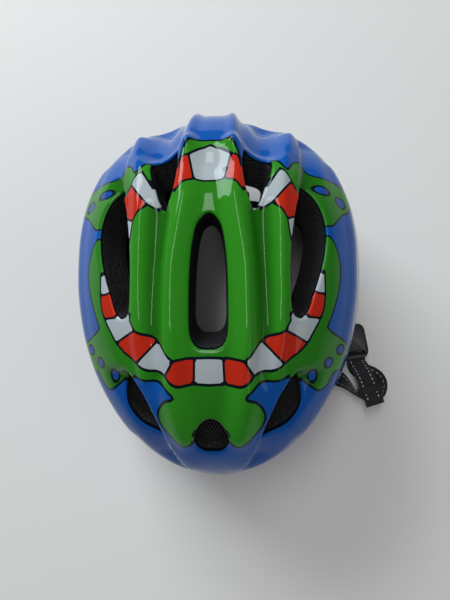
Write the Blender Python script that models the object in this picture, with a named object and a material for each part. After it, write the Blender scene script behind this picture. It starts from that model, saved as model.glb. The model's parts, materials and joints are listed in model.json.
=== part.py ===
"""A child's in-mould cycling helmet: vented shell and foam liner, insect nets, comfort pads, a dial-adjusted
head ring, and chin webbing that lies on the table. Metres, +Z up, -Y is the front, +X the wearer's left.
The origin is at the bottom centre of the helmet. The dome is a star-shaped surface about CENTRE, and a
place on it is given by its chart: (u, v) = polar angle from +Z in degrees, along the heading (x, y)."""
import math

import bpy
import bmesh
import numpy as np
from mathutils import Matrix, Vector
from mathutils.geometry import delaunay_2d_cdt

# Dome: half-lengths of the superellipsoid from its centre
CENTRE = Vector((0.0, 0.0256, 0.050))
HALF_WIDTH = 0.1036
FRONT_LENGTH = 0.1536
REAR_LENGTH = 0.1023
CROWN_HEIGHT = 0.100
SKIRT_DEPTH = 0.140
LOFT_POWER = 2.35
PLAN_POWER_FRONT = 2.0
PLAN_POWER_REAR = 2.37

# Layers, measured inwards from the dome
SHELL = 0.0012
GAP = 0.0003
LINER_DEPTH = 0.0215
NET_DEPTH = 0.0060
NET_THICKNESS = 0.0008
DOT_GAP = 0.0010
DOT_THICKNESS = 0.0006
PAD_THICKNESS = 0.0050

# Rim
TRIM_HEIGHT = 0.0030
TRIM_WIDTH = 0.0050
EAR_ARCH = (0.017, 22.0, 20.0, 36.0)
NAPE_ARCH = (0.036, 15.0, 36.0)
RIM_POINTS = 90
GRID = 0.0118

# Head ring
BAND_HEIGHT = 0.013
BAND_THICKNESS = 0.0012
BAND_DEPTH = 0.0035
ARM_DEPTH = 0.0066
ANCHOR_DEPTH = 0.0034
ARM_THICKNESS = 0.0014
PIN_HEADING = 8.0
PIN_HEIGHT = 0.041
PIN_RADIUS = 0.0020
DIAL_HEIGHT = 0.0175
DIAL_RADIUS = 0.0130
HOUSING_Y = (0.0885, 0.0975)
HOUSING_SIZE = (0.046, 0.026)
TAIL_Y = 0.0935
TAIL_REACH = 0.010
CRADLE_BEND = 5.6
CRADLE_THICKNESS = 0.0018
CRADLE_PAD_THICKNESS = 0.0040
HOUSING_WALL = 0.0014
HOUSING_CORNER = 0.006
COVER_THICKNESS = 0.0016
KNOB_LENGTH = 0.0085
SHAFT_RADIUS = 0.0020
TOOTH_RADII = (0.0033, 0.0044)
PIN_HEAD = (0.0040, 0.0014)

# Webbing
WEB_WIDTH = 0.015
WEB_THICKNESS = 0.0014
DIVIDER_HALF = (0.0125, 0.0105)
LEVER_HALF = (0.0055, 0.0070)
SOCKET_HALF = (0.0145, 0.0108)
KEEPER_HEIGHTS = (0.0130, 0.0205)
ANCHOR_HALF = (0.0095, 0.0060)
ANCHOR_HEIGHT = 0.0150

BLUE = (0.03, 0.16, 0.62)
BLACK = (0.012, 0.012, 0.013)
DARK = (0.03, 0.03, 0.032)
PAD_GREY = (0.02, 0.021, 0.024)
STEEL = (0.5, 0.5, 0.52)

# Vent outlines in the chart, right-hand side or right half, walked from the rear
CENTRAL_VENT = [(0, 3.2), (3.3, 0.4), (4.9, -5), (5.9, -14), (6.1, -25), (5.7, -34.5), (3.6, -38), (0, -38.6)]
SIDE_VENT = [(33.0, 15.8), (37.4, 11), (40.6, 5.2), (41.6, -2), (40.2, -10), (37.4, -17.6), (34.5, -23.6),
             (32.0, -28.6), (28.6, -30.2), (26.4, -27.2), (26.3, -18), (27.2, -8), (28.6, 1), (30.4, 9.5)]
REAR_VENT = [(20.8, 24.2), (16.2, 26.4), (11.9, 26.6), (10.9, 20.5), (11.8, 13.5), (13.6, 7.6), (15.5, 4.8),
             (17.2, 7.6), (18.8, 12.8), (20.6, 18.4)]
BROW_VENT = [(25.4, -47.2), (20.8, -52.6), (16.6, -60), (15.0, -65.8), (19.6, -64.8), (25.2, -61.6),
             (28.9, -57), (29.9, -52), (28.4, -48.2)]
NOSE_VENT = [(0, -56.3), (3.2, -57.8), (4.9, -60.8), (4.4, -64), (2.4, -65.8), (0, -66)]
NAPE_VENT = [(17, 59), (24, 56.5), (30.5, 52), (32, 55.5), (26.5, 61.5), (18.5, 65)]

# Relief of the dome: path in the chart, half-width in degrees, height, and how crisp its crest is, 0 to 1
RELIEF = [
    ([(8.0, 27), (8.6, 20), (8.4, 8), (10.4, -4), (12, -15), (12.3, -30), (11.4, -44), (9.2, -56),
      (8.4, -60)], 6.0, 0.0030, 0.5),
    ([(8.0, 27), (8.6, 20), (8.4, 8), (10.4, -4), (12, -15), (12.3, -30), (11.4, -44), (9.2, -56), (8.6, -64),
      (8.8, -73)], 6.5, 0.0016, 0.5),
    ([(17.3, 3), (17.8, -8), (17.6, -22), (17, -36), (15.5, -44)], 5.5, -0.0032, 0.0),
    ([(29.5, 42), (26, 27), (24.2, 14), (23.4, -5), (22.6, -24), (21.4, -36), (19, -44)], 5.0, 0.0031, 0.7),
    ([(7.2, 28), (7.3, 48), (7.0, 60)], 2.6, 0.0019, 0.8),
    ([(19.6, 31), (20.5, 40), (21, 50)], 9.0, -0.0062, 0.0),
    ([(50, 32), (56, 16), (59, 0), (58, -20), (53, -38), (45, -53), (33, -67)], 6.0, 0.0012, 0.0),
]
CREST_ROUND = 0.6
SPINE = (7.7, 4.6, 0.0047)
SPINE_FROM, SPINE_TO = (19.0, 12.0), (58.0, 12.0)
# Steps down on the outer side of a line: path from the rear, drop, width of the step, fade beyond it
SCARPS = [
    ([(26.5, -44.5), (20.4, -51.6), (16.0, -59.6), (13.2, -67), (10, -74)], 0.0058, 2.2, 11.0),
    ([(33.0, 44), (32.4, 32), (31.2, 22), (30.2, 15)], 0.0026, 1.8, 9.0),
]

# Comfort pads in polar form: heading range and polar range in degrees, or a chart outline
BROW_PAD = (-138, -42, 83.5, 93.5)
SIDE_PAD = (-36, -8, 62, 76)
REAR_PAD = (34, 60, 60, 74)
CROWN_PAD = [(10.8, -5), (12, -1.5), (16, -0.5), (20.5, -1.5), (22, -5), (22, -28), (20.5, -32.5),
             (16, -33.5), (12, -32.5), (10.8, -28)]


def clear_scene():
    for obj in list(bpy.data.objects):
        bpy.data.objects.remove(obj, do_unlink=True)


def smooth(t):
    t = np.clip(t, 0.0, 1.0)
    return t * t * (3.0 - 2.0 * t)


def path_distance(points, path, closed=False):
    """Distance of each chart point to a path, all in degrees."""
    pts = np.asarray(path, float)
    ends = np.roll(pts, -1, axis=0) if closed else pts[1:]
    starts = pts if closed else pts[:-1]
    best = np.full(len(points), 1e9)
    for a, b in zip(starts, ends):
        along = b - a
        t = np.clip(((points - a) @ along) / (along @ along), 0.0, 1.0)
        best = np.minimum(best, np.hypot(*(points - a - t[:, None] * along).T))
    return best


def inside(points, outline):
    """Even-odd test of chart points against a closed outline."""
    result = np.zeros(len(points), bool)
    pts = np.asarray(outline, float)
    for (x0, y0), (x1, y1) in zip(pts, np.roll(pts, -1, axis=0)):
        if y0 == y1:
            continue
        crosses = (points[:, 1] < y0) != (points[:, 1] < y1)
        at = x0 + (points[:, 1] - y0) * (x1 - x0) / (y1 - y0)
        result ^= crosses & (points[:, 0] < at)
    return result


def relief(chart):
    """Height of the ribs, valleys and creases above the plain dome."""
    folded = np.column_stack([np.abs(chart[:, 0]), chart[:, 1]])
    u, v = folded.T
    height = np.zeros(len(chart))
    for path, width, rise, crisp in RELIEF:
        away = np.hypot(path_distance(folded, path), CREST_ROUND) - CREST_ROUND
        share = np.clip(1.0 - away / width, 0.0, 1.0)
        height += rise * (crisp * share ** 1.5 + (1.0 - crisp) * smooth(share))
    flat, flank, rise = SPINE
    length = smooth((v - SPINE_FROM[0]) / SPINE_FROM[1]) * (1.0 - smooth((v - SPINE_TO[0]) / SPINE_TO[1]))
    height += rise * length * (1.0 - smooth((u - flat) / flank))
    for path, drop, width, fade in SCARPS:
        line = np.asarray(path, float)[::-1]
        beyond = u > np.interp(v, line[:, 1], line[:, 0])
        ends = smooth((v - line[0, 1] + 5.0) / 6.0) * smooth((line[-1, 1] + 1.0 - v) / 6.0)
        near = path_distance(folded, path)
        height -= drop * beyond * ends * smooth(near / width) * (1.0 - smooth((near - 3.0) / fade))
    return height


def directions(chart):
    polar = np.radians(np.hypot(chart[:, 0], chart[:, 1]))
    heading = np.arctan2(chart[:, 1], chart[:, 0])
    level = np.sin(polar)
    return np.column_stack([level * np.cos(heading), level * np.sin(heading), np.cos(polar)])


def dome_radius(chart):
    """Distance from CENTRE to the plain superellipsoid."""
    d = directions(chart)
    level = np.maximum(np.hypot(d[:, 0], d[:, 1]), 1e-9)
    blend = d[:, 1] / level
    power = (PLAN_POWER_FRONT + PLAN_POWER_REAR) / 2 + (PLAN_POWER_REAR - PLAN_POWER_FRONT) / 2 * blend
    length = np.where(d[:, 1] < 0, FRONT_LENGTH, REAR_LENGTH)
    height = np.where(d[:, 2] > 0, CROWN_HEIGHT, SKIRT_DEPTH)
    plan = (np.abs(d[:, 0] / HALF_WIDTH) ** power + np.abs(d[:, 1] / length) ** power) ** (LOFT_POWER / power)
    return (plan + np.abs(d[:, 2] / height) ** LOFT_POWER) ** (-1.0 / LOFT_POWER)


def outer_radius(chart, depth=0.0):
    return dome_radius(chart) + relief(chart) - depth


def inner_radius(chart, depth=0.0):
    """The head-side face of the liner has no ribs."""
    return dome_radius(chart) - LINER_DEPTH - depth


def place(chart, radius):
    chart = np.atleast_2d(np.asarray(chart, float))
    return directions(chart) * radius(chart)[:, None] + np.array(CENTRE)


def rim_height(headings):
    """Underside of the trim: level at the brim, arched over each ear and at the nape. Headings in degrees."""
    folded = 90.0 - np.abs((np.asarray(headings, float) + 450.0) % 360.0 - 180.0)
    rise, middle, flat, foot = EAR_ARCH
    ear = rise * (1.0 - smooth((np.abs(folded + middle) - flat) / (foot - flat)))
    rise, flat, foot = NAPE_ARCH
    nape = rise * (1.0 - smooth((90.0 - folded - flat) / (foot - flat)))
    return ear + nape


def chart_at_height(headings, heights, radius):
    """Chart points of a layer at given headings and heights above the table."""
    headings = np.radians(np.asarray(headings, float))
    polar = np.full(len(headings), 100.0)
    for _ in range(30):
        chart = np.column_stack([polar * np.cos(headings), polar * np.sin(headings)])
        lean = np.clip((heights - CENTRE.z) / radius(chart), -1.0, 1.0)
        polar = 0.5 * polar + 0.5 * np.degrees(np.arccos(lean))
    return np.column_stack([polar * np.cos(headings), polar * np.sin(headings)])


def smooth_closed(outline, steps):
    """Closed Catmull-Rom curve through the outline's points."""
    pts = np.asarray(outline, float)
    before, after, later = np.roll(pts, 1, axis=0), np.roll(pts, -1, axis=0), np.roll(pts, -2, axis=0)
    curve = []
    for p0, p1, p2, p3 in zip(before, pts, after, later):
        for t in np.arange(steps) / steps:
            curve.append(0.5 * (2 * p1 + (p2 - p0) * t + (2 * p0 - 5 * p1 + 4 * p2 - p3) * t ** 2
                                + (3 * p1 - p0 - 3 * p2 + p3) * t ** 3))
    return np.array(curve)


def smooth_open(points, spacing):
    """Open Catmull-Rom curve through the points' columns, resampled evenly along its first three."""
    pts = np.asarray(points, float)
    ends = np.vstack([2 * pts[0] - pts[1], pts, 2 * pts[-1] - pts[-2]])
    curve = []
    for p0, p1, p2, p3 in zip(ends[:-3], ends[1:-2], ends[2:-1], ends[3:]):
        for t in np.linspace(0.0, 1.0, 24, endpoint=False):
            curve.append(0.5 * (2 * p1 + (p2 - p0) * t + (2 * p0 - 5 * p1 + 4 * p2 - p3) * t ** 2
                                + (3 * p1 - p0 - 3 * p2 + p3) * t ** 3))
    curve = np.array(curve + [pts[-1]])
    run = np.concatenate([[0.0], np.cumsum(np.linalg.norm(np.diff(curve[:, :3], axis=0), axis=1))])
    count = max(2, round(run[-1] / spacing) + 1)
    even = np.linspace(0.0, run[-1], count)
    return np.column_stack([np.interp(even, run, column) for column in curve.T])


def mirror_outline(outline):
    return [(-u, v) for u, v in reversed(outline)]


def whole_outline(half):
    """A right half that starts and ends on the centre line, completed with its mirror image."""
    return half + [(-u, v) for u, v in reversed(half[1:-1])]


def vent_outlines():
    vents = [whole_outline(CENTRAL_VENT), whole_outline(NOSE_VENT)]
    for outline in (SIDE_VENT, REAR_VENT, BROW_VENT, NAPE_VENT):
        vents += [outline, mirror_outline(outline)]
    return vents


def triangulate(loops, points):
    """Triangles of the area inside the first loop and outside the others."""
    coords = [tuple(p) for loop in loops for p in loop] + [tuple(p) for p in points]
    edges, first = [], 0
    for loop in loops:
        count = len(loop)
        edges += [(first + i, first + (i + 1) % count) for i in range(count)]
        first += count
    found = delaunay_2d_cdt([Vector(c) for c in coords], edges, [], 0, 1e-9, True)
    verts = np.array([tuple(v) for v in found[0]])
    faces = np.array(found[2])
    renamed = {}
    for new, olds in enumerate(found[3]):
        for old in olds:
            renamed[old] = new
    middles = verts[faces].mean(axis=1)
    kept = inside(middles, loops[0])
    for loop in loops[1:]:
        kept &= ~inside(middles, loop)
    rings, first = [], 0
    for loop in loops:
        rings.append([renamed[first + i] for i in range(len(loop))])
        first += len(loop)
    return verts, faces[kept], rings


def grid_points(loops, spacing):
    """Evenly spread chart points inside the first loop, clear of every edge."""
    step = math.degrees(spacing / 0.110)
    rows = []
    for ring in range(0, int(125 / step)):
        polar = ring * step
        count = max(1, round(360.0 * math.sin(math.radians(polar)) / step))
        turns = (np.arange(count) + 0.5 * (ring % 2)) / count * 2 * math.pi
        rows.append(np.column_stack([polar * np.cos(turns), polar * np.sin(turns)]))
    points = np.vstack(rows)
    kept = inside(points, loops[0])
    for loop in loops[1:]:
        kept &= ~inside(points, loop)
    for loop in loops:
        kept &= path_distance(points, loop, closed=True) > 0.55 * step
    return points[kept]


def material(name, color, roughness=0.5, metallic=0.0):
    made = bpy.data.materials.new(name)
    made.use_nodes = True
    shader = made.node_tree.nodes["Principled BSDF"]
    shader.inputs["Base Color"].default_value = (*color, 1.0)
    shader.inputs["Roughness"].default_value = roughness
    shader.inputs["Metallic"].default_value = metallic
    return made


def add_object(name, verts, faces, color, roughness=0.5, metallic=0.0, origin=None, angle=40):
    """A closed mesh as an object; a moving piece has its origin on its joint's axis."""
    origin = Vector(origin or (0, 0, 0))
    mesh = bpy.data.meshes.new(name)
    mesh.from_pydata([tuple(Vector(v) - origin) for v in verts], [], [list(map(int, f)) for f in faces])
    shape = bmesh.new()
    shape.from_mesh(mesh)
    bmesh.ops.recalc_face_normals(shape, faces=shape.faces)
    shape.to_mesh(mesh)
    shape.free()
    mesh.shade_smooth()
    mesh.set_sharp_from_angle(angle=math.radians(angle))
    mesh.materials.append(material(name, color, roughness, metallic))
    obj = bpy.data.objects.new(name, mesh)
    obj.location = origin
    bpy.context.collection.objects.link(obj)
    return obj


def layered(name, outer_loops, inner_loops, outer, inner, spacing, **look):
    """A closed layer of the dome between two radius functions, its edges joined loop by loop."""
    top_verts, top_faces, top_rings = triangulate(outer_loops, grid_points(outer_loops, spacing))
    low_verts, low_faces, low_rings = triangulate(inner_loops, grid_points(inner_loops, spacing))
    verts = np.vstack([place(top_verts, outer), place(low_verts, inner)])
    shift = len(top_verts)
    faces = [list(f) for f in top_faces] + [[i + shift for i in f][::-1] for f in low_faces]
    for top, low in zip(top_rings, low_rings):
        for i, j in zip(range(len(top)), list(range(1, len(top))) + [0]):
            faces.append([top[i], low[i] + shift, low[j] + shift, top[j]])
    return add_object(name, verts, faces, **look)


def rim_loop(radius):
    headings = np.arange(RIM_POINTS) * 360.0 / RIM_POINTS
    heights = rim_height(headings) + TRIM_HEIGHT + GAP
    return chart_at_height(headings, heights, radius)


def make_shell():
    vents = [smooth_closed(v, 2) for v in vent_outlines()]

    def under(chart):
        return outer_radius(chart, SHELL)

    loops = [rim_loop(outer_radius)] + vents
    layered("outer_shell", loops, [rim_loop(under)] + vents, outer_radius, under, GRID, color=BLUE,
            roughness=0.15)


def make_liner():
    vents = [smooth_closed(v, 2) for v in vent_outlines()]

    def face(chart):
        return outer_radius(chart, SHELL + GAP)

    layered("eps_liner", [rim_loop(face)] + vents, [rim_loop(inner_radius)] + vents, face, inner_radius, GRID,
            color=DARK, roughness=0.9)


def make_trim():
    """The soft strip under the shell's edge, which the helmet stands on."""
    headings = np.arange(RIM_POINTS) * 360.0 / RIM_POINTS
    heights = rim_height(headings)
    rim = place(chart_at_height(headings, heights + TRIM_HEIGHT + GAP, outer_radius), outer_radius)
    outwards = np.column_stack([np.cos(np.radians(headings)), np.sin(np.radians(headings))])
    verts, faces = [], []
    for point, out, low in zip(rim, outwards, heights):
        high = low + TRIM_HEIGHT
        for step, z in ((0, low), (0, high), (-TRIM_WIDTH, high), (-TRIM_WIDTH, low)):
            verts.append((point[0] + out[0] * step, point[1] + out[1] * step, z))
    for i in range(RIM_POINTS):
        j = (i + 1) % RIM_POINTS
        for a, b in ((0, 1), (1, 2), (2, 3), (3, 0)):
            faces.append([4 * i + a, 4 * i + b, 4 * j + b, 4 * j + a])
    add_object("edge_trim", verts, faces, BLACK, 0.7)


def shrink(outline, amount):
    """Moves each point of a chart outline inwards, square to the outline."""
    pts = np.asarray(outline, float)
    along = np.roll(pts, -1, axis=0) - np.roll(pts, 1, axis=0)
    along /= np.hypot(*along.T)[:, None]
    x, y = pts.T
    turn = np.sign(np.sum(x * np.roll(y, -1) - np.roll(x, -1) * y))
    return pts + turn * amount * np.column_stack([-along[:, 1], along[:, 0]])


def make_nets():
    """Fine insect nets set a little way down the three front vents."""
    for name, outline in (("net_front_center", whole_outline(NOSE_VENT)), ("net_front_left", BROW_VENT),
                          ("net_front_right", mirror_outline(BROW_VENT))):
        loop = shrink(smooth_closed(outline, 2), 0.35)

        def top(chart):
            return outer_radius(chart, NET_DEPTH)

        def low(chart):
            return outer_radius(chart, NET_DEPTH + NET_THICKNESS)

        layered(name, [loop], [loop], top, low, 0.008, color=BLACK, roughness=0.8)


def polar_outline(first, last, low, high):
    """A rounded strip of the dome between two headings and two polar angles."""
    radius = min((high - low) / 2, 5.0)
    corner = radius * 0.6
    sweep = np.linspace(first + corner, last - corner, max(3, round((last - first) / 8)))
    outline = [(high, h) for h in sweep] + [((low + high) / 2, last)]
    outline += [(low, h) for h in sweep[::-1]] + [((low + high) / 2, first)]
    return [(p * math.cos(math.radians(h)), p * math.sin(math.radians(h))) for p, h in outline]


def pad_outlines():
    pads = {"brow_pad": polar_outline(*BROW_PAD)}
    for side, mirrored in (("left", False), ("right", True)):
        outlines = {"crown_pad": CROWN_PAD, "side_pad": polar_outline(*SIDE_PAD),
                    "rear_pad": polar_outline(*REAR_PAD)}
        for kind, outline in outlines.items():
            pads[f"{kind}_{side}"] = mirror_outline(outline) if mirrored else outline
    return pads


def make_pads():
    """Each pad sits on a disc of hook tape that is glued to the liner."""

    def dot_top(chart):
        return inner_radius(chart, DOT_GAP)

    def dot_low(chart):
        return inner_radius(chart, DOT_GAP + DOT_THICKNESS)

    def pad_top(chart):
        return inner_radius(chart, DOT_GAP + DOT_THICKNESS + GAP)

    def pad_low(chart):
        return inner_radius(chart, DOT_GAP + DOT_THICKNESS + GAP + PAD_THICKNESS)

    for name, outline in pad_outlines().items():
        loop = smooth_closed(outline, 1)
        layered(name, [loop], [loop], pad_top, pad_low, 0.009, color=PAD_GREY, roughness=0.95)
        middle = np.asarray(outline).mean(axis=0)
        polar = math.hypot(*middle)
        stretch = math.radians(polar) / math.sin(math.radians(polar))
        if name == "brow_pad":
            middle = np.array((0.0, -(BROW_PAD[2] + BROW_PAD[3]) / 2))
        across = np.array((-middle[1], middle[0])) / math.hypot(*middle)
        outward = np.array(middle) / math.hypot(*middle)
        turns = np.arange(12) * math.pi / 6
        disc = [middle + 4.0 * (math.cos(t) * outward + math.sin(t) * stretch * across) for t in turns]
        layered(name.replace("pad", "dot"), [np.array(disc)], [np.array(disc)], dot_top, dot_low, 0.05,
                color=BLACK, roughness=0.9)


def wall_point(heading, z, depth):
    """A point beside the liner's inner wall."""

    def face(chart):
        return inner_radius(chart, depth)

    return place(chart_at_height([heading], np.array([z]), face), face)[0]


def strip(name, stations, thickness, **look):
    """An upright band. A station is x, y, the middle height and the band's height there."""
    stations = np.asarray(stations, float)
    along = np.gradient(stations[:, :2], axis=0)
    along /= np.hypot(*along.T)[:, None]
    normal = np.column_stack([-along[:, 1], along[:, 0]]) * thickness / 2
    verts, faces = [], []
    for (x, y, z, tall), (nx, ny) in zip(stations, normal):
        for side, end in ((1, -1), (1, 1), (-1, 1), (-1, -1)):
            verts.append((x + side * nx, y + side * ny, z + end * tall / 2))
    last = len(stations) - 1
    for i in range(last):
        for a in range(4):
            b = (a + 1) % 4
            faces.append([4 * i + a, 4 * i + b, 4 * i + 4 + b, 4 * i + 4 + a])
    faces += [[0, 1, 2, 3], [4 * last + 3, 4 * last + 2, 4 * last + 1, 4 * last]]
    return add_object(name, verts, faces, **look)


def end_taper(count, ends=3):
    """Rounds a band's end over its last stations."""
    shares = np.ones(count)
    for i in range(ends):
        t = 1.0 - (i + 0.25) / ends
        shares[i] = shares[-1 - i] = math.sqrt(1.0 - t * t)
    return shares


def cylinder(name, radius, start, end, color, roughness=0.4, metallic=0.0, origin=None, sides=20):
    """A round bar between two points, with an optional step: radius may be a list of (share, radius)."""
    start, end = Vector(start), Vector(end)
    axis = (end - start).normalized()
    side = axis.orthogonal().normalized()
    other = axis.cross(side)
    profile = radius if isinstance(radius, list) else [(0.0, radius), (1.0, radius)]
    verts, faces = [], []
    for share, r in profile:
        for k in range(sides):
            turn = 2 * math.pi * k / sides
            verts.append(start.lerp(end, share) + r * (math.cos(turn) * side + math.sin(turn) * other))
    for ring in range(len(profile) - 1):
        for k in range(sides):
            j = (k + 1) % sides
            faces.append([ring * sides + k, ring * sides + j, (ring + 1) * sides + j, (ring + 1) * sides + k])
    last = (len(profile) - 1) * sides
    faces += [list(range(sides))[::-1], [last + k for k in range(sides)]]
    return add_object(name, verts, faces, color, roughness, metallic, origin)


def cut(obj, cutter):
    """Takes the cutter's shape out of an object; the cutter stays as a hidden guide."""
    cutter.hide_render = True
    cutter.display_type = "WIRE"
    modifier = obj.modifiers.new("cut", "BOOLEAN")
    modifier.operation = "DIFFERENCE"
    modifier.solver = "EXACT"
    modifier.object = cutter


def make_box(name, low, high, color=DARK, roughness=0.5, origin=None):
    verts = [(x, y, z) for x in (low[0], high[0]) for y in (low[1], high[1]) for z in (low[2], high[2])]
    faces = [[0, 1, 3, 2], [4, 6, 7, 5], [0, 4, 5, 1], [2, 3, 7, 6], [0, 2, 6, 4], [1, 5, 7, 3]]
    return add_object(name, verts, faces, color, roughness, origin=origin)


def pin_place(side):
    point = wall_point(PIN_HEADING, PIN_HEIGHT, ARM_DEPTH)
    return Vector((side * point[0], point[1], PIN_HEIGHT))


def make_head_band():
    """The fixed front half of the head ring, with a rounded tongue at each temple."""
    headings = np.concatenate([np.linspace(16, 4, 7), np.linspace(-4, -86, 12)])
    half = []
    for heading in headings:
        front = smooth((4.0 - heading) / 70.0)
        z = PIN_HEIGHT - 0.011 * front
        x, y, _ = wall_point(heading, z, BAND_DEPTH)
        half.append((x, y, z))
    middle = wall_point(-90, PIN_HEIGHT - 0.011, BAND_DEPTH)
    whole = half + [(0.0, middle[1], PIN_HEIGHT - 0.011)] + [(-x, y, z) for x, y, z in reversed(half)]
    tall = BAND_HEIGHT * end_taper(len(whole))
    stations = [(x, y, z, h) for (x, y, z), h in zip(whole, tall)]
    band = strip("head_band", stations, BAND_THICKNESS, color=BLACK, roughness=0.45)
    for side, word in ((1, "left"), (-1, "right")):
        pin = pin_place(side)
        reach = Vector((side * 0.02, 0, 0))
        cut(band, cylinder(f"band_hole_{word}", PIN_RADIUS + GAP, pin - reach, pin + reach, BLACK))


def arm_stations(side):
    """From the temple round the inner wall to a narrow tail inside the dial's housing."""
    low = side > 0
    stations = []
    for heading in (2, 5, 8, 14, 21, 29, 38, 47, 56):
        share = smooth((heading - 8) / 50)
        z = PIN_HEIGHT + share * (DIAL_HEIGHT - PIN_HEIGHT)
        x, y, _ = wall_point(heading, z, ARM_DEPTH)
        stations.append((x, y, z, 0.011))
    offset = -0.0075 if low else 0.0075
    stations.append((0.031, TAIL_Y - 0.0008, DIAL_HEIGHT + 0.4 * offset, 0.010))
    stations.append((0.0215, TAIL_Y, DIAL_HEIGHT + offset, 0.0048))
    stations.append((-TAIL_REACH, TAIL_Y, DIAL_HEIGHT + offset, 0.0048))
    stations = np.array(smooth_open(stations[:-1], 0.006).tolist() + [stations[-1]])
    stations[0, 3] *= 0.5
    stations[:, 0] *= side
    return stations


def make_arms():
    for side, word in ((1, "left"), (-1, "right")):
        pin = pin_place(side)
        arm = strip(f"retention_arm_{word}", arm_stations(side), ARM_THICKNESS, color=BLACK, roughness=0.4,
                    origin=pin)
        reach = Vector((side * 0.012, 0, 0))
        cut(arm, cylinder(f"arm_hole_{word}", PIN_RADIUS + 0.0004, pin - reach, pin + reach, BLACK))
        wall = wall_point(PIN_HEADING, PIN_HEIGHT, GAP + 0.0004)
        start = pin - Vector((side * 0.0032, 0, 0))
        end = Vector((side * wall[0], pin.y, pin.z))
        length = (end - start).length
        wide, head = PIN_HEAD[0], PIN_HEAD[1] / length
        profile = [(0.0, 0.85 * wide), (head * 0.6, wide), (head, wide), (head, PIN_RADIUS),
                   (1.0, PIN_RADIUS)]
        cylinder(f"arm_pin_{word}", profile, start, end, STEEL, 0.35, 0.8)


def plate(name, outline, holes, low, high, matrix, color, roughness=0.5, origin=None):
    """A flat piece with holes, drawn in x and y, given its thickness along z and moved by the matrix."""
    loops = [np.asarray(loop, float) for loop in [outline] + holes]
    flat, triangles, rings = triangulate(loops, np.zeros((0, 2)))
    verts = [matrix @ Vector((x, y, high)) for x, y in flat] + [matrix @ Vector((x, y, low)) for x, y in flat]
    shift = len(flat)
    faces = [list(f) for f in triangles] + [[i + shift for i in f][::-1] for f in triangles]
    for ring in rings:
        for i, j in zip(ring, ring[1:] + ring[:1]):
            faces.append([i, i + shift, j + shift, j])
    return add_object(name, verts, faces, color, roughness, origin=origin)


def rounded_box(half_x, half_y, radius, middle=(0.0, 0.0), steps=3):
    """Outline of a rectangle with round corners."""
    outline = []
    for sx, sy, start in ((1, 1, 0), (-1, 1, 90), (-1, -1, 180), (1, -1, 270)):
        for k in range(steps + 1):
            turn = math.radians(start + 90.0 * k / steps)
            outline.append((middle[0] + sx * (half_x - radius) + radius * math.cos(turn),
                            middle[1] + sy * (half_y - radius) + radius * math.sin(turn)))
    return outline


def make_cradle():
    """The plate behind the head, with the dial's housing on its back and two small pads on its front."""
    back = HOUSING_Y[0] - GAP

    def bent(x, y, depth):
        return Vector((x, back - depth - CRADLE_BEND * x * x, y))

    half = [(0, 0.008), (0.020, 0.006), (0.036, 0.009), (0.048, 0.018), (0.050, 0.030), (0.042, 0.041),
            (0.028, 0.043), (0.014, 0.037), (0, 0.035)]
    outline = smooth_closed([(x, z) for x, z in half] + [(-x, z) for x, z in reversed(half[1:-1])], 2)
    windows = [rounded_box(0.0075, 0.0065, 0.003, (side * 0.0335, 0.0255)) for side in (1, -1)]
    grid = [(x, z) for x in np.arange(-0.045, 0.046, 0.006) for z in np.arange(0.014, 0.038, 0.006)]
    grid = np.array(grid)
    clear = inside(grid, outline) & (path_distance(grid, outline, closed=True) > 0.003)
    for window in windows:
        clear &= ~inside(grid, window) & (path_distance(grid, window, closed=True) > 0.002)
    flat, triangles, rings = triangulate([outline] + [np.array(w) for w in windows], grid[clear])
    verts = [bent(x, z, 0.0) for x, z in flat] + [bent(x, z, CRADLE_THICKNESS) for x, z in flat]
    shift = len(flat)
    faces = [list(f) for f in triangles] + [[i + shift for i in f][::-1] for f in triangles]
    for ring in rings:
        for i, j in zip(ring, ring[1:] + ring[:1]):
            faces.append([i, i + shift, j + shift, j])
    add_object("rear_cradle", verts, faces, BLACK, 0.45)
    for side, word in ((1, "left"), (-1, "right")):
        pad_loop = np.array(rounded_box(0.0085, 0.011, 0.006, (side * 0.0125, 0.0225)))
        flat, triangles, rings = triangulate([pad_loop], np.zeros((0, 2)))
        front = CRADLE_THICKNESS + GAP
        verts = [bent(x, z, front) for x, z in flat]
        verts += [bent(x, z, front + CRADLE_PAD_THICKNESS) for x, z in flat]
        shift = len(flat)
        faces = [list(f) for f in triangles] + [[i + shift for i in f][::-1] for f in triangles]
        for i, j in zip(rings[0], rings[0][1:] + rings[0][:1]):
            faces.append([i, i + shift, j + shift, j])
        add_object(f"cradle_pad_{word}", verts, faces, PAD_GREY, 0.95)


def circle(radius, count):
    turns = np.arange(count) * 2 * math.pi / count
    return [(radius * math.cos(t), radius * math.sin(t)) for t in turns]


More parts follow.
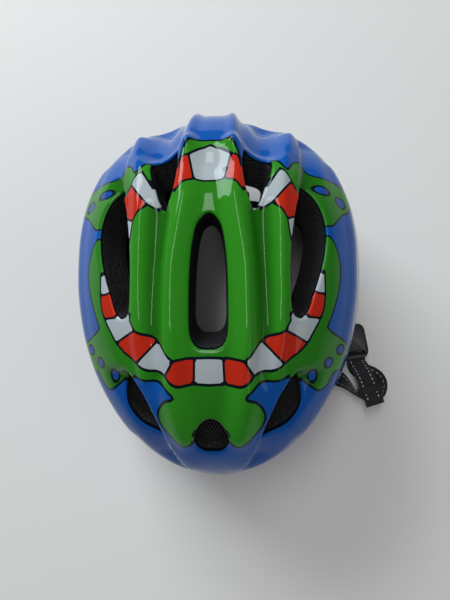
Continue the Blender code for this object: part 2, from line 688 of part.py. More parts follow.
def make_dial():
    """Housing, cover, knob and pinion on the dial's axis, which runs front to back."""
    wide, tall = HOUSING_SIZE
    axis = Vector((0, HOUSING_Y[1], DIAL_HEIGHT))
    upright = Matrix(((1, 0, 0, 0), (0, 0, 1, 0), (0, 1, 0, DIAL_HEIGHT), (0, 0, 0, 1)))
    low, high = HOUSING_Y
    outline = rounded_box(wide / 2, tall / 2, HOUSING_CORNER)
    housing = plate("dial_housing", outline, [], low, high, upright, BLACK, 0.45)
    pocket = (wide / 2 + 0.002, high + 0.001, DIAL_HEIGHT + tall / 2 - HOUSING_WALL)
    cutter = make_box("housing_pocket", (-pocket[0], low + HOUSING_WALL, 2 * DIAL_HEIGHT - pocket[2]), pocket)
    cut(housing, cutter)
    cover_low = high + GAP
    cover_high = cover_low + COVER_THICKNESS
    hole = circle(SHAFT_RADIUS + 0.0007, 16)
    plate("dial_cover", outline, [hole], cover_low, cover_high, upright, BLACK, 0.4)
    grip = []
    for k in range(48):
        turn = 2 * math.pi * k / 48
        radius = DIAL_RADIUS - 0.0006 + 0.0006 * math.cos(12 * turn)
        grip.append((radius * math.cos(turn), radius * math.sin(turn)))
    knob_low = cover_high + 0.0004
    socket = circle(SHAFT_RADIUS + 0.0004, 16)
    plate("dial_knob", grip, [socket], knob_low, knob_low + KNOB_LENGTH, upright, DARK, 0.5, origin=axis)
    count, verts, faces = 36, [], []
    ring = []
    for k in range(count):
        radius = TOOTH_RADII[1] if k % 4 in (1, 2) else TOOTH_RADII[0]
        turn = 2 * math.pi * k / count
        ring.append((radius * math.cos(turn), radius * math.sin(turn)))
    shaft = circle(SHAFT_RADIUS, count)
    levels = [(low + HOUSING_WALL + 0.0008, ring), (cover_low - 0.0008, ring),
              (cover_low - 0.0008, shaft), (knob_low + KNOB_LENGTH - 0.0015, shaft)]
    for depth, loop in levels:
        verts += [(x, depth, DIAL_HEIGHT + z) for x, z in loop]
    for level in range(len(levels) - 1):
        low_ring, high_ring = level * count, (level + 1) * count
        for k in range(count):
            j = (k + 1) % count
            faces.append([low_ring + k, low_ring + j, high_ring + j, high_ring + k])
    last = (len(levels) - 1) * count
    faces += [list(range(count))[::-1], [last + k for k in range(count)]]
    add_object("dial_pinion", verts, faces, DARK, 0.5, origin=axis)
    cap_low = knob_low + KNOB_LENGTH - 0.0011
    cylinder("dial_screw", SHAFT_RADIUS - 0.0001, (0, cap_low, DIAL_HEIGHT),
             (0, cap_low + 0.0013, DIAL_HEIGHT), STEEL, 0.3, 0.9, origin=axis, sides=16)


# Webbing routes: x, y, the clearance under the lower edge, and the lean from flat (0) to upright (90) degrees
ON_TABLE = 0.0004
ROUTES = {
    "front_strap_left": [
        (0.0435, -0.0758, 0.0075, 90), (0.0392, -0.0745, 0.0072, 90), (0.0330, -0.0785, 0.0050, 90),
        (0.0230, -0.0835, 0.0015, 88), (0.0125, -0.0820, ON_TABLE, 86), (0.0085, -0.0725, ON_TABLE, 85),
        (0.0150, -0.0630, ON_TABLE, 85), (0.0270, -0.0580, ON_TABLE, 82), (0.0375, -0.0520, ON_TABLE, 65),
        (0.0440, -0.0430, ON_TABLE, 36), (0.0510, -0.0365, ON_TABLE, 10), (0.0590, -0.0358, 0.0006, 2),
        (0.0664, -0.0400, 0.0007, 0)],
    "rear_strap_left": [
        (0.0736, 0.0455, 0.0075, 90), (0.0708, 0.0420, 0.0072, 90), (0.0685, 0.0310, 0.0040, 90),
        (0.0640, 0.0160, ON_TABLE, 90), (0.0575, 0.0030, ON_TABLE, 88), (0.0530, -0.0090, ON_TABLE, 85),
        (0.0535, -0.0200, 0.0015, 65), (0.0570, -0.0290, 0.0034, 30), (0.0615, -0.0352, 0.0036, 8),
        (0.0664, -0.0398, 0.0038, 0)],
    "chin_strap_left": [
        (0.0893, -0.0548, 0.0016, 0), (0.0950, -0.0590, 0.0010, 15), (0.1030, -0.0650, 0.0006, 50),
        (0.1110, -0.0730, ON_TABLE, 75), (0.1200, -0.0775, ON_TABLE, 82), (0.1285, -0.0735, ON_TABLE, 75),
        (0.1305, -0.0650, ON_TABLE, 60), (0.1265, -0.0585, ON_TABLE, 35), (0.1180, -0.0545, 0.0010, 12),
        (0.1128, -0.0505, 0.0020, 0), (0.1119, -0.0454, 0.0021, 0)],
    "strap_tail": [
        (0.1120, -0.0464, 0.0055, 0), (0.1135, -0.0510, 0.0098, 0), (0.1155, -0.0580, 0.0158, 0),
        (0.1180, -0.0660, 0.0178, 0), (0.1203, -0.0740, 0.0183, 0), (0.1225, -0.0810, 0.0178, 0)],
    "front_strap_right": [
        (-0.0435, -0.0758, 0.0075, 90), (-0.0392, -0.0745, 0.0072, 90), (-0.0330, -0.0785, 0.0050, 90),
        (-0.0230, -0.0835, 0.0015, 88), (-0.0125, -0.0820, ON_TABLE, 86), (-0.0085, -0.0725, ON_TABLE, 85),
        (-0.0150, -0.0640, ON_TABLE, 85), (-0.0280, -0.0620, ON_TABLE, 82),
        (-0.0400, -0.0610, ON_TABLE, 65), (-0.0510, -0.0560, ON_TABLE, 35), (-0.0580, -0.0465, ON_TABLE, 6),
        (-0.0597, -0.0362, 0.0006, 0)],
    "rear_strap_right": [
        (-0.0736, 0.0455, 0.0075, 90), (-0.0712, 0.0420, 0.0072, 90), (-0.0728, 0.0290, 0.0040, 90),
        (-0.0752, 0.0100, ON_TABLE, 90), (-0.0762, -0.0080, ON_TABLE, 90), (-0.0765, -0.0250, ON_TABLE, 88),
        (-0.0750, -0.0400, 0.0015, 70), (-0.0680, -0.0470, 0.0034, 35), (-0.0612, -0.0440, 0.0036, 8),
        (-0.0597, -0.0362, 0.0038, 0)],
    "chin_strap_right": [
        (-0.0618, -0.0080, 0.0016, 0), (-0.0615, 0.0010, 0.0008, 25), (-0.0560, 0.0100, ON_TABLE, 75),
        (-0.0450, 0.0130, ON_TABLE, 88), (-0.0360, 0.0210, ON_TABLE, 90), (-0.0335, 0.0350, ON_TABLE, 90),
        (-0.0380, 0.0490, ON_TABLE, 85), (-0.0480, 0.0550, ON_TABLE, 75), (-0.0560, 0.0510, ON_TABLE, 35),
        (-0.0580, 0.0440, 0.0014, 0)],
}


def ribbon_frames(route):
    """Middle, across and outward directions of the webbing along a smooth route."""
    line = smooth_open(route, 0.0055)
    lean = np.radians(line[:, 3])
    points = line[:, :3].copy()
    points[:, 2] += np.sin(lean) * WEB_WIDTH / 2 + np.cos(lean) * WEB_THICKNESS / 2
    along = np.gradient(points, axis=0)
    along /= np.linalg.norm(along, axis=1)[:, None]
    level = np.cross(along, (0.0, 0.0, 1.0))
    level /= np.linalg.norm(level, axis=1)[:, None]
    rise = np.cross(level, along)
    across = np.cos(lean)[:, None] * level + np.sin(lean)[:, None] * rise
    return points, across, np.cross(along, across)


def ribbon(name, route):
    """Flat webbing with cut ends."""
    points, across, normal = ribbon_frames(route)
    verts, faces = [], []
    for point, side, out in zip(points, across, normal):
        for a, b in ((1, 1), (-1, 1), (-1, -1), (1, -1)):
            verts.append(point + a * side * WEB_WIDTH / 2 + b * out * WEB_THICKNESS / 2)
    last = len(points) - 1
    for i in range(last):
        for a in range(4):
            b = (a + 1) % 4
            faces.append([4 * i + a, 4 * i + b, 4 * i + 4 + b, 4 * i + 4 + a])
    faces += [[3, 2, 1, 0], [4 * last, 4 * last + 1, 4 * last + 2, 4 * last + 3]]
    add_object(name, verts, faces, BLACK, 0.85)


def lying(x, y, z, heading):
    """Placement of a flat piece: its own +X axis turned to the heading, in degrees."""
    return Matrix.Translation((x, y, z)) @ Matrix.Rotation(math.radians(heading), 4, "Z")


def make_dividers():
    """Where front and rear webbing meet under each ear, with a cam lever hinged across the top."""
    places = {"left": (0.0780, -0.0475, -33.0), "right": (-0.0610, -0.0220, 95.0)}
    for word, (x, y, heading) in places.items():
        matrix = lying(x, y, 0.0, heading)
        slots = [rounded_box(0.0016, 0.0078, 0.001, (middle, 0.0)) for middle in (-0.0085, 0.0085)]
        outline = rounded_box(*DIVIDER_HALF, 0.003)
        plate(f"strap_divider_{word}", outline, slots, 0.0008, 0.0062, matrix, BLACK, 0.4)
        hinge = matrix @ Vector((0.001 - LEVER_HALF[0], 0, 0.0077))
        plate(f"divider_lever_{word}", rounded_box(*LEVER_HALF, 0.002), [], 0.0066, 0.0088, matrix, DARK, 0.4,
              origin=hinge)


def make_buckle():
    """Side-release buckle, unclipped: the socket hangs on the left strap, the clip on the right one."""
    matrix = lying(0.1099, -0.0291, 0.0, 98.0)
    slot = rounded_box(0.0018, 0.0080, 0.001, (-0.0102, 0.0))
    outline = rounded_box(*SOCKET_HALF, 0.0058)
    body = plate("buckle_socket", outline, [slot], 0.0006, 0.0086, matrix, BLACK, 0.3)
    outline = rounded_box(0.0120, 0.0080, 0.001, (0.0070, 0.0))
    pocket = plate("socket_pocket", outline, [], 0.0024, 0.0068, matrix, BLACK)
    cut(body, pocket)
    half = [(-0.012, 0.0105), (-0.004, 0.0105), (-0.003, 0.0075), (0.008, 0.0078), (0.009, 0.0100),
            (0.014, 0.0080), (0.0165, 0.0050), (0.0120, 0.0045), (-0.001, 0.0045), (-0.001, 0.0016),
            (0.0130, 0.0014)]
    outline = half + [(x, -y) for x, y in reversed(half)]
    slot = rounded_box(0.0016, 0.0080, 0.001, (-0.0082, 0.0))
    plate("buckle_clip", outline, [slot], 0.0010, 0.0052, lying(-0.0584, 0.0298, 0.0, -89.0), BLACK, 0.3)
    place_at = Matrix.Translation((0.1188, -0.0690, sum(KEEPER_HEIGHTS) / 2 + 0.0015))
    place_at = place_at @ Matrix.Rotation(math.radians(-73.0), 4, "Z")
    upright = Matrix(((0, 0, 1, 0), (1, 0, 0, 0), (0, 1, 0, 0), (0, 0, 0, 1)))
    band = [(y, x) for x, y in rounded_box(0.0030, 0.0098, 0.0014)]
    opening = [(y, x) for x, y in rounded_box(0.0019, 0.0086, 0.0006)]
    plate("strap_keeper", band, [opening], -0.0025, 0.0025, place_at @ upright, BLACK, 0.7)


def make_anchors():
    """Clips moulded into the liner's lower edge that hold the webbing."""
    for end, heading in (("front", -66.0), ("rear", 15.0)):
        for side, word in ((1, "left"), (-1, "right")):
            before = wall_point(heading - 4, ANCHOR_HEIGHT, ANCHOR_DEPTH)
            after = wall_point(heading + 4, ANCHOR_HEIGHT, ANCHOR_DEPTH)
            point = (before + after) / 2
            turn = math.degrees(math.atan2(before[0] - after[0], after[1] - before[1]))
            angle = turn if side > 0 else 180.0 - turn
            matrix = lying(side * point[0], point[1], ANCHOR_HEIGHT, angle)
            stand = Matrix(((0, 0, 1, 0), (1, 0, 0, 0), (0, 1, 0, 0), (0, 0, 0, 1)))
            plate(f"strap_anchor_{end}_{word}", rounded_box(*ANCHOR_HALF, 0.002), [], -0.0008, 0.0006,
                  matrix @ stand, BLACK, 0.45)


def main():
    clear_scene()
    make_shell()
    make_liner()
    make_trim()
    make_nets()
    make_pads()
    make_head_band()
    make_arms()
    make_cradle()
    make_dial()
    make_anchors()
    for name, route in ROUTES.items():
        ribbon(name, route)
    make_dividers()
    make_buckle()


main()
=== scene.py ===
"""Looks of the child's cycling helmet. Metres, +Z up, -Y is the front, +X the wearer's left. The dome is a
star-shaped surface about CENTRE, and a place on it is given by its chart: (u, v) = polar angle from +Z in
degrees, along the heading (x, y)."""
import json
import math

import bmesh
import bpy
import numpy as np
from mathutils import Matrix, Vector
from mathutils.geometry import delaunay_2d_cdt

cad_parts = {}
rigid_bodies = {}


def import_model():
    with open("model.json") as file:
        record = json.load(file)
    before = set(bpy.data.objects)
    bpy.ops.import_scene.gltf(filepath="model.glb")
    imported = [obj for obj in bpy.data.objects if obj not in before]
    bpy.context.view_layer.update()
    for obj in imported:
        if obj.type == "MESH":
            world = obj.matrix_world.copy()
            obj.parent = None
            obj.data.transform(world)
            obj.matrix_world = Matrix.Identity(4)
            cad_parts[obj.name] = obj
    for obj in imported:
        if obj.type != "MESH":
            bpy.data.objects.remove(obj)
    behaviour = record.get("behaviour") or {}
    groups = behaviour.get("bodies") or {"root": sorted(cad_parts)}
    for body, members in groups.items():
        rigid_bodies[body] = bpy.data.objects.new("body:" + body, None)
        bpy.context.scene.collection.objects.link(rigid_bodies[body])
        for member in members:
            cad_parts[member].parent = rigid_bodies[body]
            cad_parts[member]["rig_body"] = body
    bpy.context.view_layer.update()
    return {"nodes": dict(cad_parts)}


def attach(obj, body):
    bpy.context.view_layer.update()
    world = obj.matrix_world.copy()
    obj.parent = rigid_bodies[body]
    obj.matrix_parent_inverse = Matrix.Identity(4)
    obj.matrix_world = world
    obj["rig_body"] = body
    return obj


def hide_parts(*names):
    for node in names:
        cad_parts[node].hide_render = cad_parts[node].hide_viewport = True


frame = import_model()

NODES = frame["nodes"]

# Dome and layers, as in the part
CENTRE = Vector((0.0, 0.0256, 0.050))
HALF_WIDTH = 0.1036
FRONT_LENGTH = 0.1536
REAR_LENGTH = 0.1023
CROWN_HEIGHT = 0.100
SKIRT_DEPTH = 0.140
LOFT_POWER = 2.35
PLAN_POWER_FRONT = 2.0
PLAN_POWER_REAR = 2.37
SHELL = 0.0012
GAP = 0.0003
LINER_DEPTH = 0.0215
NET_DEPTH = 0.0060
DOT_GAP = 0.0010
DOT_THICKNESS = 0.0006
PAD_THICKNESS = 0.0050
TRIM_HEIGHT = 0.0030
EAR_ARCH = (0.017, 22.0, 20.0, 36.0)
NAPE_ARCH = (0.036, 15.0, 36.0)

# About how long a degree of the chart is on the dome, in metres
DEGREE = math.radians(1.0) * 0.105

# Points round the rim, the shell's rolled hem there, how sharp an edge is that gets rounded off, and a
# distance in degrees that is beyond every line of the paint
RIM_POINTS = 420
SHELL_HEM = 0.0010
HARD_EDGE = math.radians(30)
FAR = 9.0

# Vent outlines in the chart, right-hand side or right half, walked from the rear
CENTRAL_VENT = [(0, 3.2), (3.3, 0.4), (4.9, -5), (5.9, -14), (6.1, -25), (5.7, -34.5), (3.6, -38), (0, -38.6)]
SIDE_VENT = [(33, 15.8), (37.4, 11), (40.6, 5.2), (41.6, -2), (40.2, -10), (37.4, -17.6), (34.5, -23.6),
             (32, -28.6), (28.6, -30.2), (26.4, -27.2), (26.3, -18), (27.2, -8), (28.6, 1), (30.4, 9.5)]
REAR_VENT = [(20.8, 24.2), (16.2, 26.4), (11.9, 26.6), (10.9, 20.5), (11.8, 13.5), (13.6, 7.6), (15.5, 4.8),
             (17.2, 7.6), (18.8, 12.8), (20.6, 18.4)]
BROW_VENT = [(25.4, -47.2), (20.8, -52.6), (16.6, -60), (15, -65.8), (19.6, -64.8), (25.2, -61.6),
             (28.9, -57), (29.9, -52), (28.4, -48.2)]
NOSE_VENT = [(0, -56.3), (3.2, -57.8), (4.9, -60.8), (4.4, -64), (2.4, -65.8), (0, -66)]
NAPE_VENT = [(17, 59), (24, 56.5), (30.5, 52), (32, 55.5), (26.5, 61.5), (18.5, 65)]

# How far the rear vents slant forwards on their way through the liner, and their places among the vents
REAR_SLANT = (0, -3.6)
REAR_VENTS = (4, 5)

# Relief of the dome: path in the chart, half-width in degrees, height, and how crisp its crest is, 0 to 1
RELIEF = [
    ([(8, 27), (8.6, 20), (8.4, 8), (10.4, -4), (12, -15), (12.3, -30), (11.4, -44), (9.2, -56),
      (8.4, -60)], 6, 0.0030, 0.5),
    ([(8, 27), (8.6, 20), (8.4, 8), (10.4, -4), (12, -15), (12.3, -30), (11.4, -44), (9.2, -56), (8.6, -64),
      (8.8, -73)], 6.5, 0.0016, 0.5),
    ([(17.3, 3), (17.8, -8), (17.6, -22), (17, -36), (15.5, -44)], 5.5, -0.0032, 0),
    ([(29.5, 42), (26, 27), (24.2, 14), (23.4, -5), (22.6, -24), (21.4, -36), (19, -44)], 5, 0.0031, 0.7),
    ([(7.2, 28), (7.3, 48), (7, 60)], 2.6, 0.0019, 0.8),
    ([(19.6, 31), (20.5, 40), (21, 50)], 9, -0.0062, 0),
    ([(50, 32), (56, 16), (59, 0), (58, -20), (53, -38), (45, -53), (33, -67)], 6, 0.0012, 0),
]
CREST_ROUND = 0.6
SPINE = (7.7, 4.6, 0.0047)
SPINE_FROM, SPINE_TO = (19, 12), (58, 12)
# Steps down on the outer side of a line: path from the rear, drop, width of the step, fade beyond it
SCARPS = [
    ([(26.5, -44.5), (20.4, -51.6), (16, -59.6), (13.2, -67), (10, -74)], 0.0058, 2.2, 11),
    ([(33, 44), (32.4, 32), (31.2, 22), (30.2, 15)], 0.0026, 1.8, 9),
]

# Comfort pads in polar form: heading range and polar range in degrees, or a chart outline
BROW_PAD = (-138, -42, 83.5, 93.5)
SIDE_PAD = (-36, -8, 62, 76)
REAR_PAD = (34, 60, 60, 74)
CROWN_PAD = [(10.8, -5), (12, -1.5), (16, -0.5), (20.5, -1.5), (22, -5), (22, -28), (20.5, -32.5),
             (16, -33.5), (12, -32.5), (10.8, -28)]

# Paint, right-hand side or right half, in the chart. The two block lists are the ring of red and white.
RED_BLOCKS = [
    [(4.5, -47.2), (8.8, -47), (13.1, -45), (10.2, -40.5), (4.3, -40.7)],
    [(22.8, -42.2), (27.5, -40), (31.2, -37.3), (23.1, -33), (16, -36.6)],
    [(38.5, -26.6), (36.9, -30), (29.4, -29.5), (33, -22), (39.2, -22.3)],
    [(27.6, 15.6), (30.9, 10.8), (29.4, 3.4), (25.5, 1.2), (23.4, 4.4), (20.8, 6.8)],
    [(6.9, 23.2), (9.3, 22.2), (12.4, 12.4), (11.2, 9.9), (8.6, 12.8), (5.1, 14.6)],
]
WHITE_BLOCKS = [
    [(0, -47.4), (4.5, -47.2), (4.3, -40.7), (0, -40.6)],
    [(13.1, -45), (18, -44.2), (22.8, -42.2), (16, -36.6), (12.6, -39), (10.2, -40.5)],
    [(31.2, -37.3), (36.9, -30), (29.4, -29.5), (25, -28.2), (25.4, -30.5), (23.1, -33)],
    [(39.2, -22.3), (33, -22), (37, -15), (39.4, -14.8)],
    [(23.4, 19.8), (27.6, 15.6), (20.8, 6.8), (17.4, 5), (16.6, 8)],
    [(25.5, 1.2), (29.4, 3.4), (29, -3), (27.4, -9.5), (26.7, -5)],
    [(0, 27.8), (3.6, 25.9), (6.9, 23.2), (5.1, 14.6), (0, 14.6)],
]
GREEN_AREAS = [
    # the crown inside the ring, the ring and the strip round it, and the panel down to the nose
    [(0, 29.6), (5.4, 28.4), (8.6, 25), (9.8, 22), (12, 15), (16, 5), (20.5, 22), (22.6, 23.4), (25.6, 19.2),
     (28.6, 23.6), (33, 25.5), (33.5, 18), (31, 9), (29, -1), (28, -18), (31, -27), (36, -18), (38.5, -6.5),
     (40.5, -1.5), (44, -3), (46.5, -7.5), (47.5, -14), (45.5, -22), (41.5, -30), (38.4, -34.5), (33.5, -41),
     (24, -46), (19, -46.8), (14, -47.4), (10.2, -49.4), (13.4, -51.4), (16.2, -55.6), (15.2, -59.2),
     (11.6, -61.4), (8.4, -63), (5.8, -62.2), (4.6, -58.6), (0, -58)],
    # rounded patches over the front corners and behind the side vents
    [(36, -31), (42, -34.8), (50.5, -39.2), (52, -42.4), (49.3, -44.6), (47.5, -48.2), (43.8, -48.6),
     (41, -51.8), (37, -53.2), (32.6, -51), (28.4, -48.4), (24.5, -46.2), (30, -36)],
    [(32.6, 26.2), (35.4, 22.8), (41.5, 22), (49.5, 22.6), (56, 19), (55.4, 12.6), (50, 8.5), (43.6, 2.2),
     (38, 4), (33.5, 12)],
]
DOTS = [(47.2, -41.2, 2.3, 1.7), (40.6, -44.6, 2.2, 1.7), (34, -48.2, 1.7, 2.2), (40.4, 16, 3.6, 1.9),
        (50, 14.2, 3, 2.3)]
KEYLINE = 0.34

# Webbing routes, as in the part: x, y, clearance under the lower edge, lean from flat (0) to upright (90)
WEB_WIDTH = 0.015
WEB_THICKNESS = 0.0014
ON_TABLE = 0.0004
ROUTES = {
    "front_strap_left": [
        (0.0435, -0.0758, 0.0075, 90), (0.0392, -0.0745, 0.0072, 90), (0.033, -0.0785, 0.005, 90),
        (0.023, -0.0835, 0.0015, 88), (0.0125, -0.082, ON_TABLE, 86), (0.0085, -0.0725, ON_TABLE, 85),
        (0.015, -0.063, ON_TABLE, 85), (0.027, -0.058, ON_TABLE, 82), (0.0375, -0.052, ON_TABLE, 65),
        (0.044, -0.043, ON_TABLE, 36), (0.051, -0.0365, ON_TABLE, 10), (0.059, -0.0358, 0.0006, 2),
        (0.0664, -0.04, 0.0007, 0)],
    "rear_strap_left": [
        (0.0736, 0.0455, 0.0075, 90), (0.0708, 0.042, 0.0072, 90), (0.0685, 0.031, 0.004, 90),
        (0.064, 0.016, ON_TABLE, 90), (0.0575, 0.003, ON_TABLE, 88), (0.053, -0.009, ON_TABLE, 85),
        (0.0535, -0.02, 0.0015, 65), (0.057, -0.029, 0.0034, 30), (0.0615, -0.0352, 0.0036, 8),
        (0.0664, -0.0398, 0.0038, 0)],
    "chin_strap_left": [
        (0.0864, -0.0528, 0.0016, 0), (0.0893, -0.0548, 0.0016, 0), (0.095, -0.059, 0.001, 15),
        (0.103, -0.065, 0.0006, 50), (0.111, -0.073, ON_TABLE, 75), (0.12, -0.0775, ON_TABLE, 82),
        (0.1285, -0.0735, ON_TABLE, 75), (0.1305, -0.065, ON_TABLE, 60), (0.1265, -0.0585, ON_TABLE, 35),
        (0.118, -0.0545, 0.001, 12), (0.1128, -0.0505, 0.002, 0), (0.1119, -0.0454, 0.0021, 0),
        (0.1114, -0.0376, 0.0022, 0)],
    "strap_tail": [
        (0.1118, -0.0415, 0.0048, 0), (0.112, -0.0464, 0.0055, 0), (0.1135, -0.051, 0.0098, 0),
        (0.1155, -0.058, 0.0158, 0), (0.118, -0.066, 0.0178, 0), (0.1203, -0.074, 0.0183, 0),
        (0.1225, -0.081, 0.0178, 0)],
    "front_strap_right": [
        (-0.0435, -0.0758, 0.0075, 90), (-0.0392, -0.0745, 0.0072, 90), (-0.033, -0.0785, 0.005, 90),
        (-0.023, -0.0835, 0.0015, 88), (-0.0125, -0.082, ON_TABLE, 86), (-0.0085, -0.0725, ON_TABLE, 85),
        (-0.015, -0.064, ON_TABLE, 85), (-0.028, -0.062, ON_TABLE, 82),
        (-0.04, -0.061, ON_TABLE, 65), (-0.051, -0.056, ON_TABLE, 35), (-0.058, -0.0465, ON_TABLE, 6),
        (-0.0597, -0.0362, 0.0006, 0)],
    "rear_strap_right": [
        (-0.0736, 0.0455, 0.0075, 90), (-0.0712, 0.042, 0.0072, 90), (-0.0728, 0.029, 0.004, 90),
        (-0.0752, 0.01, ON_TABLE, 90), (-0.0762, -0.008, ON_TABLE, 90), (-0.0765, -0.025, ON_TABLE, 88),
        (-0.075, -0.04, 0.0015, 70), (-0.068, -0.047, 0.0034, 35), (-0.0612, -0.044, 0.0036, 8),
        (-0.0597, -0.0362, 0.0038, 0)],
    "chin_strap_right": [
        (-0.0618, -0.008, 0.0016, 0), (-0.0615, 0.001, 0.0008, 25), (-0.056, 0.01, ON_TABLE, 75),
        (-0.045, 0.013, ON_TABLE, 88), (-0.036, 0.021, ON_TABLE, 90), (-0.0335, 0.035, ON_TABLE, 90),
        (-0.038, 0.049, ON_TABLE, 85), (-0.048, 0.055, ON_TABLE, 75), (-0.056, 0.051, ON_TABLE, 35),
        (-0.058, 0.044, 0.0014, 0)],
}

# Camera: 27 mm equivalent, looking almost straight down, from a little in front of the middle
CAMERA_PLACE = Vector((0.0246, -0.0699, 0.3960))
CAMERA_LENS = 27.18
CAMERA_TILT = math.radians(11.25)
CAMERA_SWING = math.radians(-3.41)
CAMERA_ROLL = math.radians(0.42)


# ---- surface

def smooth(t):
    t = np.clip(t, 0.0, 1.0)
    return t * t * (3.0 - 2.0 * t)


def fold(chart):
    """The same places on the +X side."""
    return np.column_stack([np.abs(chart[:, 0]), chart[:, 1]])


def near(points, outline, margin):
    """Which chart points lie in the outline's box, widened by the margin."""
    low, high = np.min(outline, axis=0) - margin, np.max(outline, axis=0) + margin
    return np.all((points > low) & (points < high), axis=1)


def unit(vectors):
    return vectors / np.linalg.norm(vectors, axis=1)[:, None]


def run_along(points):
    """Length of the line from its start to each of its points."""
    return np.concatenate([[0.0], np.cumsum(np.linalg.norm(np.diff(points, axis=0), axis=1))])


def path_distance(points, path, closed=False):
    """Distance of each chart point to a path, all in degrees."""
    pts = np.asarray(path, float)
    ends = np.roll(pts, -1, axis=0) if closed else pts[1:]
    starts = pts if closed else pts[:-1]
    best = np.full(len(points), 1e9)
    for a, b in zip(starts, ends):
        along = b - a
        t = np.clip(((points - a) @ along) / (along @ along), 0.0, 1.0)
        best = np.minimum(best, np.hypot(*(points - a - t[:, None] * along).T))
    return best


def inside(points, outline):
    """Even-odd test of chart points against a closed outline."""
    result = np.zeros(len(points), bool)
    pts = np.asarray(outline, float)
    for (x0, y0), (x1, y1) in zip(pts, np.roll(pts, -1, axis=0)):
        if y0 == y1:
            continue
        crosses = (points[:, 1] < y0) != (points[:, 1] < y1)
        at = x0 + (points[:, 1] - y0) * (x1 - x0) / (y1 - y0)
        result ^= crosses & (points[:, 0] < at)
    return result


def relief(chart):
    """Height of the ribs, valleys and creases above the plain dome."""
    folded = fold(chart)
    u, v = folded.T
    height = np.zeros(len(chart))
    for path, width, rise, crisp in RELIEF:
        away = np.hypot(path_distance(folded, path), CREST_ROUND) - CREST_ROUND
        share = np.clip(1.0 - away / width, 0.0, 1.0)
        height += rise * (crisp * share ** 1.5 + (1.0 - crisp) * smooth(share))
    flat, flank, rise = SPINE
    length = smooth((v - SPINE_FROM[0]) / SPINE_FROM[1]) * (1.0 - smooth((v - SPINE_TO[0]) / SPINE_TO[1]))
    height += rise * length * (1.0 - smooth((u - flat) / flank))
    for path, drop, width, fade in SCARPS:
        line = np.asarray(path, float)[::-1]
        beyond = u > np.interp(v, line[:, 1], line[:, 0])
        ends = smooth((v - line[0, 1] + 5.0) / 6.0) * smooth((line[-1, 1] + 1.0 - v) / 6.0)
        near = path_distance(folded, path)
        height -= drop * beyond * ends * smooth(near / width) * (1.0 - smooth((near - 3.0) / fade))
    return height


def directions(chart):
    polar = np.radians(np.hypot(chart[:, 0], chart[:, 1]))
    heading = np.arctan2(chart[:, 1], chart[:, 0])
    level = np.sin(polar)
    return np.column_stack([level * np.cos(heading), level * np.sin(heading), np.cos(polar)])


def dome_radius(chart):
    """Distance from CENTRE to the plain superellipsoid."""
    d = directions(chart)
    level = np.maximum(np.hypot(d[:, 0], d[:, 1]), 1e-9)
    blend = d[:, 1] / level
    power = (PLAN_POWER_FRONT + PLAN_POWER_REAR) / 2 + (PLAN_POWER_REAR - PLAN_POWER_FRONT) / 2 * blend
    length = np.where(d[:, 1] < 0, FRONT_LENGTH, REAR_LENGTH)
    height = np.where(d[:, 2] > 0, CROWN_HEIGHT, SKIRT_DEPTH)
    plan = (np.abs(d[:, 0] / HALF_WIDTH) ** power + np.abs(d[:, 1] / length) ** power) ** (LOFT_POWER / power)
    return (plan + np.abs(d[:, 2] / height) ** LOFT_POWER) ** (-1.0 / LOFT_POWER)


def outer_radius(chart):
    return dome_radius(chart) + relief(chart)


def inner_radius(chart):
    """The head-side face of the liner has no ribs."""
    return dome_radius(chart) - LINER_DEPTH


def place(chart, radius, depth=0.0):
    chart = np.atleast_2d(np.asarray(chart, float))
    return directions(chart) * (radius(chart) - depth)[:, None] + np.array(CENTRE)


def rim_height(headings):
    """Underside of the trim: level at the brim, arched over each ear and at the nape. Headings in degrees."""
    folded = 90.0 - np.abs((np.asarray(headings, float) + 450.0) % 360.0 - 180.0)
    rise, middle, flat, foot = EAR_ARCH
    ear = rise * (1.0 - smooth((np.abs(folded + middle) - flat) / (foot - flat)))
    rise, flat, foot = NAPE_ARCH
    nape = rise * (1.0 - smooth((90.0 - folded - flat) / (foot - flat)))
    return ear + nape


def chart_at_height(headings, heights, radius):
    """Chart points of a layer at given headings and heights above the table."""
    headings = np.radians(np.asarray(headings, float))
    polar = np.full(len(headings), 100.0)
    for _ in range(30):
        chart = np.column_stack([polar * np.cos(headings), polar * np.sin(headings)])
        lean = np.clip((heights - CENTRE.z) / radius(chart), -1.0, 1.0)
        polar = 0.5 * polar + 0.5 * np.degrees(np.arccos(lean))
    return np.column_stack([polar * np.cos(headings), polar * np.sin(headings)])


def catmull(points, steps, closed):
    """Catmull-Rom curve through the points, with so many steps in each span."""
    pts = np.asarray(points, float)
    if closed:
        spans = zip(np.roll(pts, 1, axis=0), pts, np.roll(pts, -1, axis=0), np.roll(pts, -2, axis=0))
    else:
        ends = np.vstack([2 * pts[0] - pts[1], pts, 2 * pts[-1] - pts[-2]])
        spans = zip(ends[:-3], ends[1:-2], ends[2:-1], ends[3:])
    curve = []
    for p0, p1, p2, p3 in spans:
        for t in np.arange(steps) / steps:
            curve.append(0.5 * (2 * p1 + (p2 - p0) * t + (2 * p0 - 5 * p1 + 4 * p2 - p3) * t ** 2
                                + (3 * p1 - p0 - 3 * p2 + p3) * t ** 3))
    return np.array(curve if closed else curve + [pts[-1]])


def resample(curve, spacing, closed=False):
    """Even spacing along a curve's first columns; a closed curve keeps its first point once."""
    pts = np.vstack([curve, curve[:1]]) if closed else np.asarray(curve, float)
    run = run_along(pts[:, :3])
    count = max(3, round(run[-1] / spacing) + 1)
    even = np.linspace(0.0, run[-1], count)
    result = np.column_stack([np.interp(even, run, column) for column in pts.T])
    return result[:-1] if closed else result


def mirror_outline(outline):
    return [(-u, v) for u, v in reversed(outline)]


def whole_outline(half):
    """A right half that starts and ends on the centre line, completed with its mirror image."""
    return half + mirror_outline(half[1:-1])


